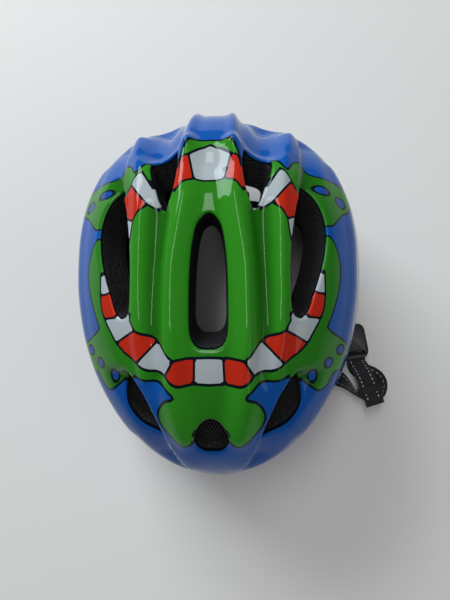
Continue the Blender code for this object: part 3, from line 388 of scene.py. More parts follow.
def grow(outline, amount):
    """Moves each point of a chart outline outwards, square to the outline."""
    pts = np.asarray(outline, float)
    along = np.roll(pts, -1, axis=0) - np.roll(pts, 1, axis=0)
    along /= np.hypot(*along.T)[:, None]
    x, y = pts.T
    turn = np.sign(np.sum(x * np.roll(y, -1) - np.roll(x, -1) * y))
    return pts - turn * amount * np.column_stack([-along[:, 1], along[:, 0]])


def triangulate(loops, points):
    """Triangles of the area inside the first loop and outside the others."""
    coords = [Vector(p) for loop in [*loops, points] for p in loop]
    edges, numbers, first = [], [], 0
    for loop in loops:
        ring = list(range(first, first + len(loop)))
        numbers.append(ring)
        edges += zip(ring, ring[1:] + ring[:1])
        first += len(loop)
    found = delaunay_2d_cdt(coords, edges, [], 0, 1e-9, True)
    verts = np.array([tuple(v) for v in found[0]])
    faces = np.array(found[2])
    renamed = {old: new for new, olds in enumerate(found[3]) for old in olds}
    middles = verts[faces].mean(axis=1)
    kept = inside(middles, loops[0])
    for loop in loops[1:]:
        kept &= ~inside(middles, loop)
    return verts, faces[kept], [[renamed[i] for i in ring] for ring in numbers]


def grid_points(loops, spacing):
    """Evenly spread chart points inside the first loop, clear of every edge."""
    step = spacing / DEGREE
    rows = []
    for ring in range(0, int(125 / step)):
        polar = ring * step
        count = max(1, round(360.0 * math.sin(math.radians(polar)) / step))
        turns = (np.arange(count) + 0.5 * (ring % 2)) / count * 2 * math.pi
        rows.append(np.column_stack([polar * np.cos(turns), polar * np.sin(turns)]))
    points = np.vstack(rows)
    points = points[inside(points, loops[0])]
    for loop in loops:
        close = near(points, loop, step)
        kept = np.ones(len(points), bool)
        kept[close] = path_distance(points[close], loop, closed=True) > 0.55 * step
        if loop is not loops[0]:
            kept[close] &= ~inside(points[close], loop)
        points = points[kept]
    return points


# ---- materials

class Nodes:
    """A short way to write a material's node tree."""

    def __init__(self, name):
        self.material = bpy.data.materials.new(name)
        self.material.use_nodes = True
        self.tree = self.material.node_tree
        self.shader = self.tree.nodes["Principled BSDF"]

    def feed(self, socket, value):
        """Links the value if it is another node's output, and stores it in the socket if not."""
        if isinstance(value, bpy.types.NodeSocket):
            self.tree.links.new(value, socket)
        elif value is not None:
            socket.default_value = (*value, 1.0) if isinstance(value, tuple) else value

    def node(self, kind, **values):
        node = self.tree.nodes.new(kind)
        for name, value in values.items():
            self.feed(node.inputs[name.replace("_", " ")], value)
        return node

    def set(self, **values):
        for name, value in values.items():
            self.feed(self.shader.inputs[name.replace("_", " ")], value)

    def place(self, stretch=(1, 1, 1)):
        source = self.node("ShaderNodeTexCoord").outputs["Object"]
        return self.node("ShaderNodeMapping", Vector=source, Scale=list(stretch)).outputs["Vector"]

    def attribute(self, name):
        node = self.node("ShaderNodeAttribute")
        node.attribute_name = name
        return node.outputs["Fac"]

    def noise(self, scale, detail=3.0, roughness=0.5, vector=None):
        return self.node("ShaderNodeTexNoise", Scale=scale, Detail=detail, Roughness=roughness,
                         Vector=vector or self.place()).outputs["Fac"]

    def voronoi(self, scale, feature="F1"):
        node = self.node("ShaderNodeTexVoronoi", Scale=scale, Vector=self.place())
        node.feature = feature
        return node.outputs["Distance"]

    def math(self, operation, *values):
        node = self.node("ShaderNodeMath")
        node.operation = operation
        for socket, value in zip(node.inputs, values):
            self.feed(socket, value)
        return node.outputs[0]

    def step(self, value, low, high):
        """0 below low, 1 above high."""
        return self.node("ShaderNodeMapRange", Value=value, From_Min=low, From_Max=high).outputs["Result"]

    def mix(self, share, first, second):
        node = self.node("ShaderNodeMix")
        node.data_type = "RGBA"
        for socket, value in zip([s for s in node.inputs if s.enabled], (share, first, second)):
            self.feed(socket, value)
        return [s for s in node.outputs if s.enabled][0]

    def bump(self, height, strength, distance, below=None):
        return self.node("ShaderNodeBump", Strength=strength, Distance=distance, Height=height,
                         Normal=below).outputs["Normal"]


def shell_material():
    """Printed, clear-coated polycarbonate: the colours come from distances to the paint outlines. Painted
    shade darkens the blue on the lower sides and the green in the valleys.
    """
    m = Nodes("shell_print")
    edge = 0.05  # half the width, in degrees, over which one ink turns into the next
    # painted shade: the blue turns darker towards the lower sides of the dome
    depth = m.step(m.attribute("painted_lower_shade"), 0.0, 1.0)
    cloud = m.noise(22.0, 2.0)
    blue = m.mix(depth, (0.003, 0.088, 0.390), (0.002, 0.052, 0.260))
    blue = m.mix(m.math("MULTIPLY", cloud, 0.25), blue, (0.006, 0.100, 0.440))
    # painted shade: the green turns darker in the valleys of the relief
    green = m.mix(m.step(m.attribute("shade"), 0.0, 1.0), (0.026, 0.250, 0.012), (0.006, 0.105, 0.003))
    green = m.mix(m.math("MULTIPLY", cloud, 0.20), green, (0.062, 0.350, 0.024))
    red = m.mix(m.math("MULTIPLY", cloud, 0.5), (0.520, 0.020, 0.007), (0.610, 0.034, 0.011))
    white = m.mix(m.math("MULTIPLY", cloud, 0.6), (0.400, 0.455, 0.480), (0.480, 0.530, 0.555))
    areas = {name: m.attribute(name) for name in ("green", "red", "white", "dot")}
    color = blue
    for name, ink in (("green", green), ("dot", (0.008, 0.075, 0.340)), ("white", white), ("red", red)):
        color = m.mix(m.step(areas[name], -edge, edge), color, ink)
    line = m.step(m.attribute("lip"), 0.30, 0.30 + 2 * edge)
    for distance in areas.values():
        line = m.math("MINIMUM", line, m.step(m.math("ABSOLUTE", distance), KEYLINE, KEYLINE + edge))
    color = m.mix(line, (0.002, 0.006, 0.010), color)
    rough = m.math("MULTIPLY_ADD", m.noise(60.0, 6.0, 0.7), 0.12, 0.20)
    m.set(Base_Color=color, Roughness=rough, Specular_IOR_Level=0.0, Coat_Roughness=0.05,
          Coat_Weight=m.step(m.attribute("lip"), 0.26, 0.36), Coat_IOR=1.28,
          Normal=m.bump(m.noise(900.0, 2.0), 0.06, 0.0002))
    return m.material


def foam_material():
    """Expanded polystyrene: beads pressed together, black all through."""
    m = Nodes("foam_beads")
    bead = m.voronoi(330.0, "DISTANCE_TO_EDGE")
    seam = m.step(bead, 0.0, 0.16)
    shade = m.mix(m.math("MULTIPLY", seam, 0.7), (0.005, 0.005, 0.005), (0.017, 0.017, 0.018))
    m.set(Base_Color=m.mix(m.noise(90.0, 2.0), shade, (0.010, 0.010, 0.011)), Specular_IOR_Level=0.22,
          Roughness=m.math("MULTIPLY_ADD", seam, -0.18, 0.80), Normal=m.bump(seam, 0.55, 0.0006))
    return m.material


def plastic_material(name, color, roughness, grain=1500.0, depth=0.10, coat=0.0):
    """Moulded plastic with a fine spark-eroded grain and slight handling wear."""
    m = Nodes(name)
    wear = m.noise(120.0, 5.0, 0.65)
    light = tuple(min(1.0, 1.7 * c + 0.004) for c in color)
    m.set(Base_Color=m.mix(m.math("MULTIPLY", wear, 0.5), color, light),
          Roughness=m.math("MULTIPLY_ADD", wear, 0.16, roughness - 0.08), Coat_Weight=coat,
          Normal=m.bump(m.noise(grain, 2.0), depth, 0.0003))
    return m.material


def rubber_material(name, color):
    m = Nodes(name)
    dust = m.noise(260.0, 6.0, 0.75)
    light = tuple(1.9 * c + 0.006 for c in color)
    m.set(Base_Color=m.mix(m.step(dust, 0.45, 0.8), color, light), Roughness=0.78, Specular_IOR_Level=0.3,
          Normal=m.bump(m.noise(1900.0, 3.0), 0.22, 0.0003))
    return m.material


def steel_material():
    m = Nodes("satin_steel")
    scratch = m.noise(900.0, 4.0, 0.6, m.place((1.0, 0.1, 1.0)))
    m.set(Base_Color=m.mix(scratch, (0.42, 0.42, 0.44), (0.62, 0.62, 0.64)), Metallic=1.0,
          Roughness=m.math("MULTIPLY_ADD", scratch, 0.22, 0.22), Normal=m.bump(scratch, 0.1, 0.0002))
    return m.material


def webbing_material():
    """Herringbone polyester webbing: the weave follows the strap's own run and width."""
    m = Nodes("webbing_weave")
    run, side = m.attribute("run"), m.attribute("side")
    slant = m.math("ABSOLUTE", m.math("SUBTRACT", m.math("FRACT", m.math("MULTIPLY", side, 220.0)), 0.5))
    pick = m.math("MULTIPLY_ADD", slant, 1.6, m.math("MULTIPLY", run, 560.0))
    rib = m.math("SINE", m.math("MULTIPLY", pick, 2 * math.pi))
    cord = m.math("SINE", m.math("MULTIPLY", side, 2 * math.pi * 1300.0))
    height = m.math("MULTIPLY_ADD", cord, 0.4, rib)
    fuzz = m.noise(1400.0, 3.0)
    tone = m.step(m.math("MULTIPLY_ADD", fuzz, 0.8, m.math("MULTIPLY", height, 0.25)), 0.0, 1.0)
    m.set(Base_Color=m.mix(tone, (0.004, 0.004, 0.005), (0.022, 0.022, 0.025)), Roughness=0.72,
          Sheen_Weight=0.25, Sheen_Roughness=0.4, Normal=m.bump(height, 0.6, 0.0003))
    return m.material


def thread_material():
    """Reflective stitching: pale twisted thread."""
    m = Nodes("reflective_thread")
    twist = m.noise(2600.0, 2.0, 0.5, m.place((1.0, 0.3, 1.0)))
    m.set(Base_Color=m.mix(twist, (0.42, 0.43, 0.44), (0.74, 0.75, 0.76)), Roughness=0.45,
          Normal=m.bump(twist, 0.5, 0.0002))
    return m.material


def cloth_material(name, color, loop_scale=1500.0):
    """Brushed knit over foam."""
    m = Nodes(name)
    knit = m.voronoi(loop_scale)
    pile = m.noise(700.0, 4.0, 0.7)
    light = tuple(2.4 * c + 0.006 for c in color)
    m.set(Base_Color=m.mix(m.math("MULTIPLY", pile, 0.8), color, light), Roughness=0.95, Sheen_Weight=0.6,
          Sheen_Roughness=0.5, Specular_IOR_Level=0.2,
          Normal=m.bump(knit, 0.5, 0.0003, m.bump(pile, 0.4, 0.0005)))
    return m.material


def net_material():
    m = Nodes("net_yarn")
    twist = m.noise(3000.0, 2.0)
    m.set(Base_Color=m.mix(twist, (0.004, 0.004, 0.005), (0.030, 0.030, 0.034)), Roughness=0.55,
          Normal=m.bump(twist, 0.3, 0.0002))
    return m.material


# ---- objects

def add_object(name, mesh, material, sharp_angle):
    """Edges flatter than the angle, in degrees, are shaded smooth."""
    mesh.shade_smooth()
    mesh.set_sharp_from_angle(angle=math.radians(sharp_angle))
    mesh.materials.append(material)
    obj = bpy.data.objects.new(name, mesh)
    bpy.context.scene.collection.objects.link(obj)
    return obj


def add_mesh(name, verts, faces, material, angle=40):
    """A piece that rides on the helmet itself."""
    mesh = bpy.data.meshes.new(name)
    mesh.from_pydata([tuple(map(float, v)) for v in verts], [], [list(map(int, f)) for f in faces])
    shape = bmesh.new()
    shape.from_mesh(mesh)
    bmesh.ops.recalc_face_normals(shape, faces=shape.faces)
    shape.to_mesh(mesh)
    shape.free()
    obj = add_object(name, mesh, material, angle)
    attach(obj, "root")
    return obj


def set_attribute(obj, name, values):
    attribute = obj.data.attributes.new(name, "FLOAT", "POINT")
    attribute.data.foreach_set("value", np.asarray(values, np.float32))


class Builder:
    """Gathers vertices and faces of one piece."""

    def __init__(self):
        self.verts = []
        self.faces = []
        self.chart = []

    def add(self, verts, chart=None):
        first = len(self.verts)
        self.verts += [tuple(v) for v in verts]
        self.chart += [tuple(c) for c in (chart if chart is not None else np.zeros((len(verts), 2)))]
        return list(range(first, first + len(verts)))

    def triangles(self, ids, faces, flip=False):
        order = -1 if flip else 1
        self.faces += [tuple(ids[i] for i in face[::order]) for face in faces]

    def bridge(self, first, second):
        count = len(first)
        for i in range(count):
            j = (i + 1) % count
            self.faces.append((first[i], first[j], second[j], second[i]))


def layer(outer, inner, outer_loops, inner_loops, profiles, spacing, inner_spacing):
    """A closed layer of the dome. outer_loops and inner_loops bound its two faces; each profile is the list
    of point rings between them, already in place, from the outer face to the inner one."""
    b = Builder()
    chart, triangles, rings = triangulate(outer_loops, grid_points(outer_loops, spacing))
    ids = b.add(place(chart, outer), chart)
    b.triangles(ids, triangles)
    low_chart, low_triangles, low_rings = triangulate(inner_loops, grid_points(inner_loops, inner_spacing))
    low_ids = b.add(place(low_chart, inner), low_chart)
    b.triangles(low_ids, low_triangles, flip=True)
    for ring, low_ring, profile, loop in zip(rings, low_rings, profiles, outer_loops):
        last = [ids[i] for i in ring]
        for points in profile:
            new = b.add(points, loop)
            b.bridge(last, new)
            last = new
        b.bridge(last, [low_ids[i] for i in low_ring])
    return b


def vent_loops():
    """Closed vent outlines, with a point about every millimetre."""
    vents = [whole_outline(CENTRAL_VENT), whole_outline(NOSE_VENT)]
    for outline in (SIDE_VENT, REAR_VENT, BROW_VENT, NAPE_VENT):
        vents += [outline, mirror_outline(outline)]
    return [resample(catmull(v, 12, True), 0.55, closed=True) for v in vents]


def rim_chart(radius, lift=0.0):
    headings = np.arange(RIM_POINTS) * 360.0 / RIM_POINTS
    return chart_at_height(headings, rim_height(headings) + TRIM_HEIGHT + GAP + lift, radius)


def signed(points, outline):
    """Distance to a closed outline in degrees, positive inside."""
    distance = path_distance(points, outline, closed=True)
    return np.where(inside(points, outline), distance, -distance)


def paint(obj, chart, lips):
    """Stores the distances that the shell's print is made from, and the painted shade of the lower sides and
    of the valleys.
    """
    folded = fold(chart)

    def union(outlines):
        best = np.full(len(folded), -FAR)
        for outline in outlines:
            close = near(folded, outline, 4)
            best[close] = np.maximum(best[close], signed(folded[close], outline))
        return best

    def completed(outlines):
        return [whole_outline(area) if area[0][0] == 0 else area for area in outlines]

    panel, *patches = GREEN_AREAS
    rounded = [catmull(whole_outline(panel), 4, True)] + [catmull(area, 5, True) for area in patches]
    set_attribute(obj, "green", union(rounded))
    set_attribute(obj, "red", union(completed(RED_BLOCKS)))
    set_attribute(obj, "white", union(completed(WHITE_BLOCKS)))
    dots = np.full(len(folded), -FAR)
    for u, v, wide, tall in DOTS:
        share = np.hypot((folded[:, 0] - u) / wide, (folded[:, 1] - v) / tall)
        dots = np.maximum(dots, (1.0 - share) * min(wide, tall))
    set_attribute(obj, "dot", dots)
    # painted shade: darker blue on the lower sides, growing from 45 degrees down
    set_attribute(obj, "painted_lower_shade", smooth((np.hypot(*chart.T) - 45.0) / 55.0))
    # painted shade: darker green where the relief lies low
    set_attribute(obj, "shade", smooth((0.0022 - relief(chart)) / 0.0050))
    set_attribute(obj, "lip", lips)


def make_shell():
    """Thin printed shell, rolled into every vent and over the lower edge."""
    roll, steps = 0.0016, 4
    vents = vent_loops()

    def under(chart):
        return outer_radius(chart) - SHELL

    outer_loops = [rim_chart(outer_radius, SHELL_HEM)] + [grow(v, roll / DEGREE) for v in vents]
    inner_loops = [rim_chart(under, 0.0002)] + [grow(v, roll / DEGREE + 0.25) for v in vents]
    turns = [math.pi / 2 * k / steps for k in range(1, steps + 1)]
    profiles = [[place(rim_chart(outer_radius, SHELL_HEM * (1 - math.sin(turn))), outer_radius,
                       0.0005 * (1 - math.cos(turn))) for turn in turns]]
    for vent, outer in zip(vents, outer_loops[1:]):
        profile = [place(outer + (vent - outer) * math.sin(turn), outer_radius, roll * (1 - math.cos(turn)))
                   for turn in turns]
        for edge in (vent, grow(vent, 0.5)):
            profile.append(place(edge, outer_radius, roll + 0.0008))
        profiles.append(profile)
    b = layer(outer_radius, under, outer_loops, inner_loops, profiles, 0.0016, 0.0045)
    obj = add_mesh("shell_printed", b.verts, b.faces, shell_material(), angle=80)
    chart = np.array(b.chart)
    lips = np.full(len(chart), FAR)
    for vent in vents:
        close = near(chart, vent, 3)
        lips[close] = np.minimum(lips[close], signed(chart[close], vent) * -1.0)
    radial = np.linalg.norm(np.array(b.verts) - np.array(CENTRE), axis=1)
    sunk = outer_radius(chart) - radial
    # printed down to the foot of the roll, and black below it
    foot = 0.9 * roll
    lips = np.where(sunk > foot, 0.25 - 1000.0 * (sunk - foot), np.maximum(lips, 0.45))
    paint(obj, chart, lips)
    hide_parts("outer_shell")


def make_liner():
    """Foam liner: its vent walls are rounded into the hollow for the head."""
    vents = vent_loops()

    def face(chart):
        return outer_radius(chart) - SHELL - GAP

    low_vents = [vent + (REAR_SLANT if number in REAR_VENTS else 0.0) for number, vent in enumerate(vents)]
    outer_loops = [rim_chart(face)] + [grow(v, 1.3) for v in vents]
    inner_loops = [rim_chart(inner_radius)] + [grow(v, 1.6) for v in low_vents]
    profiles = [[]]
    for vent, low in zip(vents, low_vents):
        top = place(vent, outer_radius, SHELL + GAP + 0.0016)
        bottom = place(low, inner_radius)
        profile = [place(grow(vent, 0.4), outer_radius, SHELL + GAP + 0.0011)]
        profile += [top + (bottom - top) * share for share in (0.0, 0.12, 0.3, 0.5, 0.7, 0.86)]
        profile += [place(grow(low, 0.35), inner_radius, -0.0009),
                    place(grow(low, 0.9), inner_radius, -0.0002)]
        profiles.append(profile)
    b = layer(face, inner_radius, outer_loops, inner_loops, profiles, 0.0034, 0.0034)
    obj = add_mesh("liner_foam", b.verts, b.faces, foam_material(), angle=50)
    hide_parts("eps_liner")
    return obj


def make_trim():
    """Soft strip with a rounded outer face and a shallow groove under the shell's edge."""
    headings = np.arange(RIM_POINTS) * 360.0 / RIM_POINTS
    heights = rim_height(headings)
    rim = place(chart_at_height(headings, heights + TRIM_HEIGHT + GAP, outer_radius), outer_radius)
    outwards = np.column_stack([np.cos(np.radians(headings)), np.sin(np.radians(headings))])
    section = [(0.0, 0.0008), (-0.0004, 0.0002), (-0.0014, 0.0), (-0.0040, 0.0), (-0.0048, 0.0004),
               (-0.0050, 0.0012), (-0.0050, 0.0026), (-0.0046, 0.0030), (-0.0012, 0.0030), (-0.0006, 0.0027),
               (-0.0002, 0.0030), (0.0002, 0.0026), (0.0003, 0.0016)]
    b = Builder()
    rings = [b.add(np.column_stack([rim[:, :2] + outwards * out, heights + up])) for out, up in section]
    for first, second in zip(rings, rings[1:] + rings[:1]):
        b.bridge(first, second)
    obj = add_mesh("trim_strip", b.verts, b.faces, rubber_material("trim_rubber", (0.012, 0.012, 0.013)))
    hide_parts("edge_trim")


# ---- webbing

def ribbon_frames(route, spacing=0.0016):
    """Middle, across and outward directions of the webbing along a smooth route."""
    line = resample(catmull(route, 24, False), spacing)
    lean = np.radians(line[:, 3])
    points = line[:, :3].copy()
    points[:, 2] += np.sin(lean) * WEB_WIDTH / 2 + np.cos(lean) * WEB_THICKNESS / 2
    along = unit(np.gradient(points, axis=0))
    level = unit(np.cross(along, (0.0, 0.0, 1.0)))
    rise = np.cross(level, along)
    across = np.cos(lean)[:, None] * level + np.sin(lean)[:, None] * rise
    return points, across, np.cross(along, across)


def make_webbing(name, route, material, thread):
    """Woven band with rounded selvedges and two rows of broken pale stitching on both faces."""
    points, across, normal = ribbon_frames(route)
    run = run_along(points)
    half, thick = WEB_WIDTH / 2, WEB_THICKNESS / 2
    section = [(share * (half - 0.0005), thick * (1.0 - 0.18 * share ** 2))
               for share in np.linspace(-1, 1, 13)]
    section += [(half - 0.0001, thick * 0.45), (half - 0.0001, -thick * 0.45)]
    section += [(x, -y) for x, y in section[:13][::-1]]
    section += [(-half + 0.0001, -thick * 0.45), (-half + 0.0001, thick * 0.45)]
    b = Builder()
    rings, sides, runs = [], [], []
    for i, (point, side, out) in enumerate(zip(points, across, normal)):
        wave = 0.00008 * math.sin(run[i] * 2 * math.pi / 0.0021)
        rings.append(b.add([point + side * x + out * (y + math.copysign(wave, y) * (abs(x) < half * 0.9))
                            for x, y in section]))
        sides += [x for x, _ in section]
        runs += [run[i]] * len(section)
    count = len(section)
    for first, second in zip(rings[:-1], rings[1:]):
        b.bridge(first, second)
    for ring, flip in ((rings[0], True), (rings[-1], False)):
        for k in range(12):
            quad = (ring[k], ring[k + 1], ring[count - 4 - k], ring[count - 3 - k])
            b.faces.append(quad[::-1] if flip else quad)
        for cap in (tuple(ring[12:16]), (ring[0], ring[-1], ring[-2], ring[-3])):
            b.faces.append(cap[::-1] if flip else cap)
    obj = add_mesh(f"webbing_{name}", b.verts, b.faces, material)
    set_attribute(obj, "run", runs)
    set_attribute(obj, "side", sides)
    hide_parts(name)
    make_stitches(f"stitches_{name}", points, across, normal, run, thread)
    return obj, points, run[-1]


def make_stitches(name, points, across, normal, run, thread):
    """Two rows of short raised stitches, on both faces of the band."""
    pitch, length, wide, rise = 0.0034, 0.0021, 0.0009, 0.00022
    b = Builder()
    start = 0.004
    while start + length < run[-1] - 0.004:
        for row in (-0.0045, 0.0045):
            for face in (1, -1):
                lower, upper = [], []
                for share in (0.0, 0.25, 0.5, 0.75, 1.0):
                    at = start + share * length
                    p, s, n = (np.array([np.interp(at, run, column) for column in rows.T])
                               for rows in (points, across, normal))
                    lift = WEB_THICKNESS / 2 - 0.0001
                    width = wide * (0.6 if share in (0.0, 1.0) else 1.0) / 2
                    top = lift + rise * math.sin(math.pi * (0.12 + 0.76 * share))
                    arch = ((-width, lift), (-0.4 * width, top), (0.4 * width, top), (width, lift))
                    for offset, height in arch:
                        upper.append(p + s * (row + offset) + n * face * height)
                    lower.append(p + s * row + n * face * (lift - 0.0003))
                ids = b.add(upper)
                bottom = b.add(lower)
                for k in range(4):
                    a, c = ids[4 * k:4 * k + 4], ids[4 * k + 4:4 * k + 8]
                    for i in range(3):
                        b.faces.append((a[i], a[i + 1], c[i + 1], c[i]))
                    b.faces.append((a[3], bottom[k], bottom[k + 1], c[3]))
                    b.faces.append((bottom[k], a[0], c[0], bottom[k + 1]))
                b.faces.append((ids[0], bottom[0], ids[3], ids[2], ids[1]))
                b.faces.append((ids[16], ids[17], ids[18], ids[19], bottom[4]))
        start += pitch
    add_mesh(name, b.verts, b.faces, thread)


def make_straps():
    material, thread = webbing_material(), thread_material()
    return {name: make_webbing(name, route, material, thread) for name, route in ROUTES.items()}


# ---- nets and pads

def make_net(name, node, outline, material):
    """Knitted netting set a little way down a vent: two sets of slanting yarns that cross over and under."""
    pitch, yarn, sides = 0.95, 0.00022, 5
    turns = (np.arange(sides) * 2 * math.pi / sides)[:, None]
    loop = grow(resample(catmull(outline, 12, True), 0.6, closed=True), 0.45)
    reach = np.abs(loop).max() * 1.5
    b = Builder()
    for slant, phase in ((58.0, 0.0), (-58.0, math.pi)):
        turn = math.radians(slant)
        along = np.array((math.cos(turn), math.sin(turn)))
        square = np.array((-along[1], along[0]))
        count = int(2 * reach / pitch)
        for row in range(-count, count + 1):
            ts = np.arange(-reach, reach, 0.22)
            line = square * row * pitch + ts[:, None] * along
            kept = inside(line, loop)
            for run in np.split(np.arange(len(ts)), np.nonzero(np.diff(kept.astype(int)))[0] + 1):
                if len(run) < 3 or not kept[run[0]]:
                    continue
                chart = line[run]
                weave = 0.00014 * np.sin(ts[run] / pitch * 2.2 + phase + row * math.pi)
                out = directions(chart)
                middle = place(chart, outer_radius) - out * (NET_DEPTH + 0.0004 - weave)[:, None]
                side = unit(np.cross(unit(np.gradient(middle, axis=0)), out))
                rings = [b.add(m + yarn * (np.cos(turns) * s + np.sin(turns) * o))
                         for m, s, o in zip(middle, side, out)]
                for first, second in zip(rings[:-1], rings[1:]):
                    b.bridge(first, second)
                b.faces += [tuple(rings[0]), tuple(rings[-1][::-1])]
    obj = add_mesh(name, b.verts, b.faces, material)
    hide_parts(node)


def make_nets():
    material = net_material()
    for place_name, outline in (("center", whole_outline(NOSE_VENT)), ("left", BROW_VENT),
                                ("right", mirror_outline(BROW_VENT))):
        make_net(f"netting_{place_name}", f"net_front_{place_name}", outline, material)


def polar_outline(first, last, low, high):
    """A rounded strip of the dome between two headings and two polar angles."""
    radius = min((high - low) / 2, 5.0)
    corner = radius * 0.6
    sweep = np.linspace(first + corner, last - corner, max(3, round((last - first) / 8)))
    outline = [(high, h) for h in sweep] + [((low + high) / 2, last)]
    outline += [(low, h) for h in sweep[::-1]] + [((low + high) / 2, first)]
    return [(p * math.cos(math.radians(h)), p * math.sin(math.radians(h))) for p, h in outline]


def pad_outlines():
    pads = {"brow_pad": polar_outline(*BROW_PAD)}
    for side, mirrored in (("left", False), ("right", True)):
        outlines = {"crown_pad": CROWN_PAD, "side_pad": polar_outline(*SIDE_PAD),
                    "rear_pad": polar_outline(*REAR_PAD)}
        for kind, outline in outlines.items():
            pads[f"{kind}_{side}"] = mirror_outline(outline) if mirrored else outline
    return pads


def make_pad(name, outline, material):
    """Foam under brushed cloth: a crowned, slightly uneven form with a pressed, flat hem."""
    loop = resample(catmull(outline, 10, True), 0.8, closed=True)
    hem, hem_thickness = 1.1, 0.0011
    seed = sum(map(ord, name))
    waves = np.random.default_rng(seed).uniform(0, 2 * math.pi, 4)
    top_depth = DOT_GAP + DOT_THICKNESS + GAP

    def thickness(chart):
        edge = signed(chart, loop)
        swell = np.clip((edge - hem) / 4.2, 0.0, 1.0)
        crown = np.sqrt(1.0 - (1.0 - swell) ** 2)
        heading = np.degrees(np.arctan2(chart[:, 1], chart[:, 0]))
        ripple = 0.05 * np.sin(heading * 0.55 + waves[0]) * np.sin(np.hypot(*chart.T) * 0.7 + waves[1])
        pucker = 0.10 * np.sin(heading * 1.9 + waves[2]) * np.exp(-((edge - hem - 0.9) / 0.8) ** 2)
        full = (PAD_THICKNESS - hem_thickness) * (crown * (0.94 + ripple) + pucker)
        return hem_thickness + np.where(edge > hem, full, 0.0)

    chart, triangles, rings = triangulate([loop], grid_points([loop], 0.0019))
    b = Builder()
    swollen = thickness(chart)
    lift = 0.22 * (swollen - hem_thickness)
    face, out = place(chart, inner_radius), directions(chart)
    top = face - out * (top_depth + 0.0012 - lift.clip(0, 0.0011))[:, None]
    low = face - out * (top_depth + 0.0012 + swollen * 0.78)[:, None]
    top_ids, low_ids = b.add(top, chart), b.add(low, chart)
    b.triangles(top_ids, triangles)
    b.triangles(low_ids, triangles, flip=True)
    b.bridge([top_ids[i] for i in rings[0]], [low_ids[i] for i in rings[0]])
    obj = add_mesh(f"cloth_{name}", b.verts, b.faces, material, angle=70)
    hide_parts(name)


def make_pads():
    material = cloth_material("pad_knit", (0.012, 0.0125, 0.014))
    for name, outline in pad_outlines().items():
        make_pad(name, outline, material)
    for side in ("left", "right"):
        refine(f"cradle_pad_{side}", material, 0.0014, 3)
    hook = cloth_material("hook_tape", (0.006, 0.006, 0.007), 2200.0)
    for name, node in NODES.items():
        if "_dot" in name:
            node.data.materials.clear()
            node.data.materials.append(hook)


# ---- moulded pieces

def refine(node, material, width, segments=3):
    """A CAD node's own shape with every hard edge rounded off."""
    source = NODES[node]
    mesh = source.data.copy()
    mesh.name = f"fine_{node}"
    shape = bmesh.new()
    shape.from_mesh(mesh)
    bmesh.ops.remove_doubles(shape, verts=shape.verts, dist=0.00001)
    bmesh.ops.dissolve_limit(shape, angle_limit=math.radians(1.0), verts=shape.verts, edges=shape.edges)
    hard = [e for e in shape.edges if len(e.link_faces) == 2 and e.calc_face_angle(0.0) > HARD_EDGE]
    bmesh.ops.bevel(shape, geom=hard, offset=width, segments=segments, profile=0.5, affect="EDGES",
                    clamp_overlap=True)
    bmesh.ops.recalc_face_normals(shape, faces=shape.faces)
    shape.to_mesh(mesh)
    shape.free()
    mesh.materials.clear()
    obj = add_object(f"fine_{node}", mesh, material, 35)
    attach(obj, source["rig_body"])
    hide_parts(node)
    return obj


def make_ring():
    """Head ring, its arms, the cradle and the dial."""
    nylon = plastic_material("ring_nylon", (0.012, 0.012, 0.013), 0.42, coat=0.15)
    rubber = rubber_material("knob_rubber", (0.028, 0.028, 0.030))
    steel = steel_material()
    for node in ("head_band", "retention_arm_left", "retention_arm_right", "rear_cradle", "dial_housing",
                 "dial_cover", "dial_pinion"):
        refine(node, nylon, 0.00035, 2)
    refine("dial_knob", rubber, 0.0006, 3)
    for node in ("arm_pin_left", "arm_pin_right", "dial_screw"):
        refine(node, steel, 0.00025, 2)


def make_fittings():
    """Dividers, levers, anchors, buckle halves and the keeper: what the webbing runs through."""
    acetal = plastic_material("buckle_acetal", (0.006, 0.006, 0.007), 0.42, 1800.0, 0.08)
    fine = {}
    for side in ("left", "right"):
        for node in (f"strap_divider_{side}", f"divider_lever_{side}", f"strap_anchor_front_{side}",
                     f"strap_anchor_rear_{side}"):
            fine[node] = refine(node, acetal, 0.0007, 3)
    for node in ("buckle_socket", "buckle_clip"):
        fine[node] = refine(node, acetal, 0.0009, 3)
    keeper = rubber_material("keeper_rubber", (0.016, 0.016, 0.017))
    fine["strap_keeper"] = refine("strap_keeper", keeper, 0.0004, 2)
    return fine


# ---- camera and stage

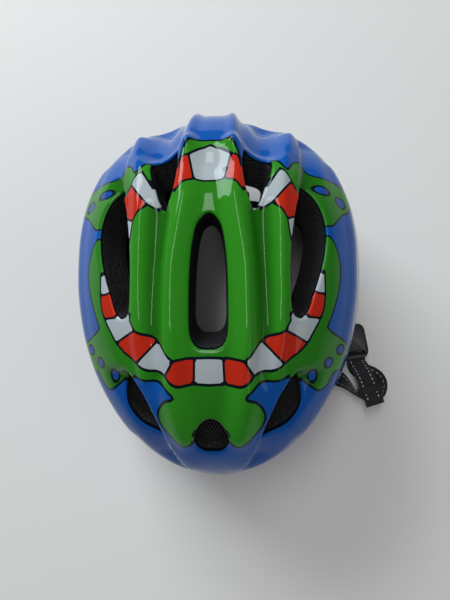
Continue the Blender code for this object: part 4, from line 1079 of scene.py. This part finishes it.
def make_camera():
    right, up = Vector((1, 0, 0)), Vector((0, math.cos(CAMERA_TILT), math.sin(CAMERA_TILT)))
    look = Vector((0, math.sin(CAMERA_TILT), -math.cos(CAMERA_TILT)))
    c, s = math.cos(CAMERA_SWING), math.sin(CAMERA_SWING)
    right, look = c * right - s * look, s * right + c * look
    c, s = math.cos(CAMERA_ROLL), math.sin(CAMERA_ROLL)
    right, up = c * right - s * up, s * right + c * up
    data = bpy.data.cameras.new("camera")
    data.lens = CAMERA_LENS
    data.sensor_width = 36.0
    data.clip_start = 0.01
    camera = bpy.data.objects.new("camera", data)
    camera.matrix_world = Matrix.Translation(CAMERA_PLACE) @ Matrix((right, up, -look)).transposed().to_4x4()
    bpy.context.scene.collection.objects.link(camera)
    bpy.context.scene.camera = camera
    bpy.context.scene.view_settings.view_transform = "Standard"


def make_stage():
    half = 3.0
    floor = bpy.data.meshes.new("floor")
    corners = [(-half, -half, 0), (half, -half, 0), (half, half, 0), (-half, half, 0)]
    floor.from_pydata(corners, [], [(0, 1, 2, 3)])
    m = Nodes("pale_floor")
    m.set(Base_Color=m.mix(m.noise(3.0, 2.0), (0.755, 0.745, 0.725), (0.785, 0.770, 0.748)), Roughness=0.7)
    floor.materials.append(m.material)
    obj = bpy.data.objects.new("floor", floor)
    bpy.context.scene.collection.objects.link(obj)


def add_light(name, place_at, aim, size, power, color=(1.0, 1.0, 1.0)):
    data = bpy.data.lights.new(name, "AREA")
    data.shape = "RECTANGLE"
    data.size, data.size_y = size
    data.energy = power
    data.color = color
    light = bpy.data.objects.new(name, data)
    light.location = place_at
    light.rotation_euler = (Vector(aim) - Vector(place_at)).to_track_quat("-Z", "Y").to_euler()
    bpy.context.scene.collection.objects.link(light)


def make_lights():
    world = bpy.data.worlds.new("studio")
    bpy.context.scene.world = world
    world.use_nodes = True
    background = world.node_tree.nodes["Background"]
    background.inputs["Color"].default_value = (0.93, 0.96, 1, 1)
    background.inputs["Strength"].default_value = 0.15
    aim = (0, 0, 0.05)
    add_light("overhead_strip", (-0.15, 0.35, 1.9), (-0.15, 0.3, 0.0), (0.30, 1.8), 13.0)
    add_light("window", (-1.1, 1.7, 1.35), aim, (1.5, 0.9), 44.0, (0.88, 0.96, 1.0))
    add_light("fill", (1.5, -0.9, 1.2), aim, (1.0, 0.8), 3.0, (1.0, 0.98, 0.95))


def main():
    make_camera()
    make_stage()
    make_lights()
    straps = make_straps()
    make_fittings()
    make_shell()
    make_liner()
    make_trim()
    make_nets()
    make_pads()
    make_ring()


main()
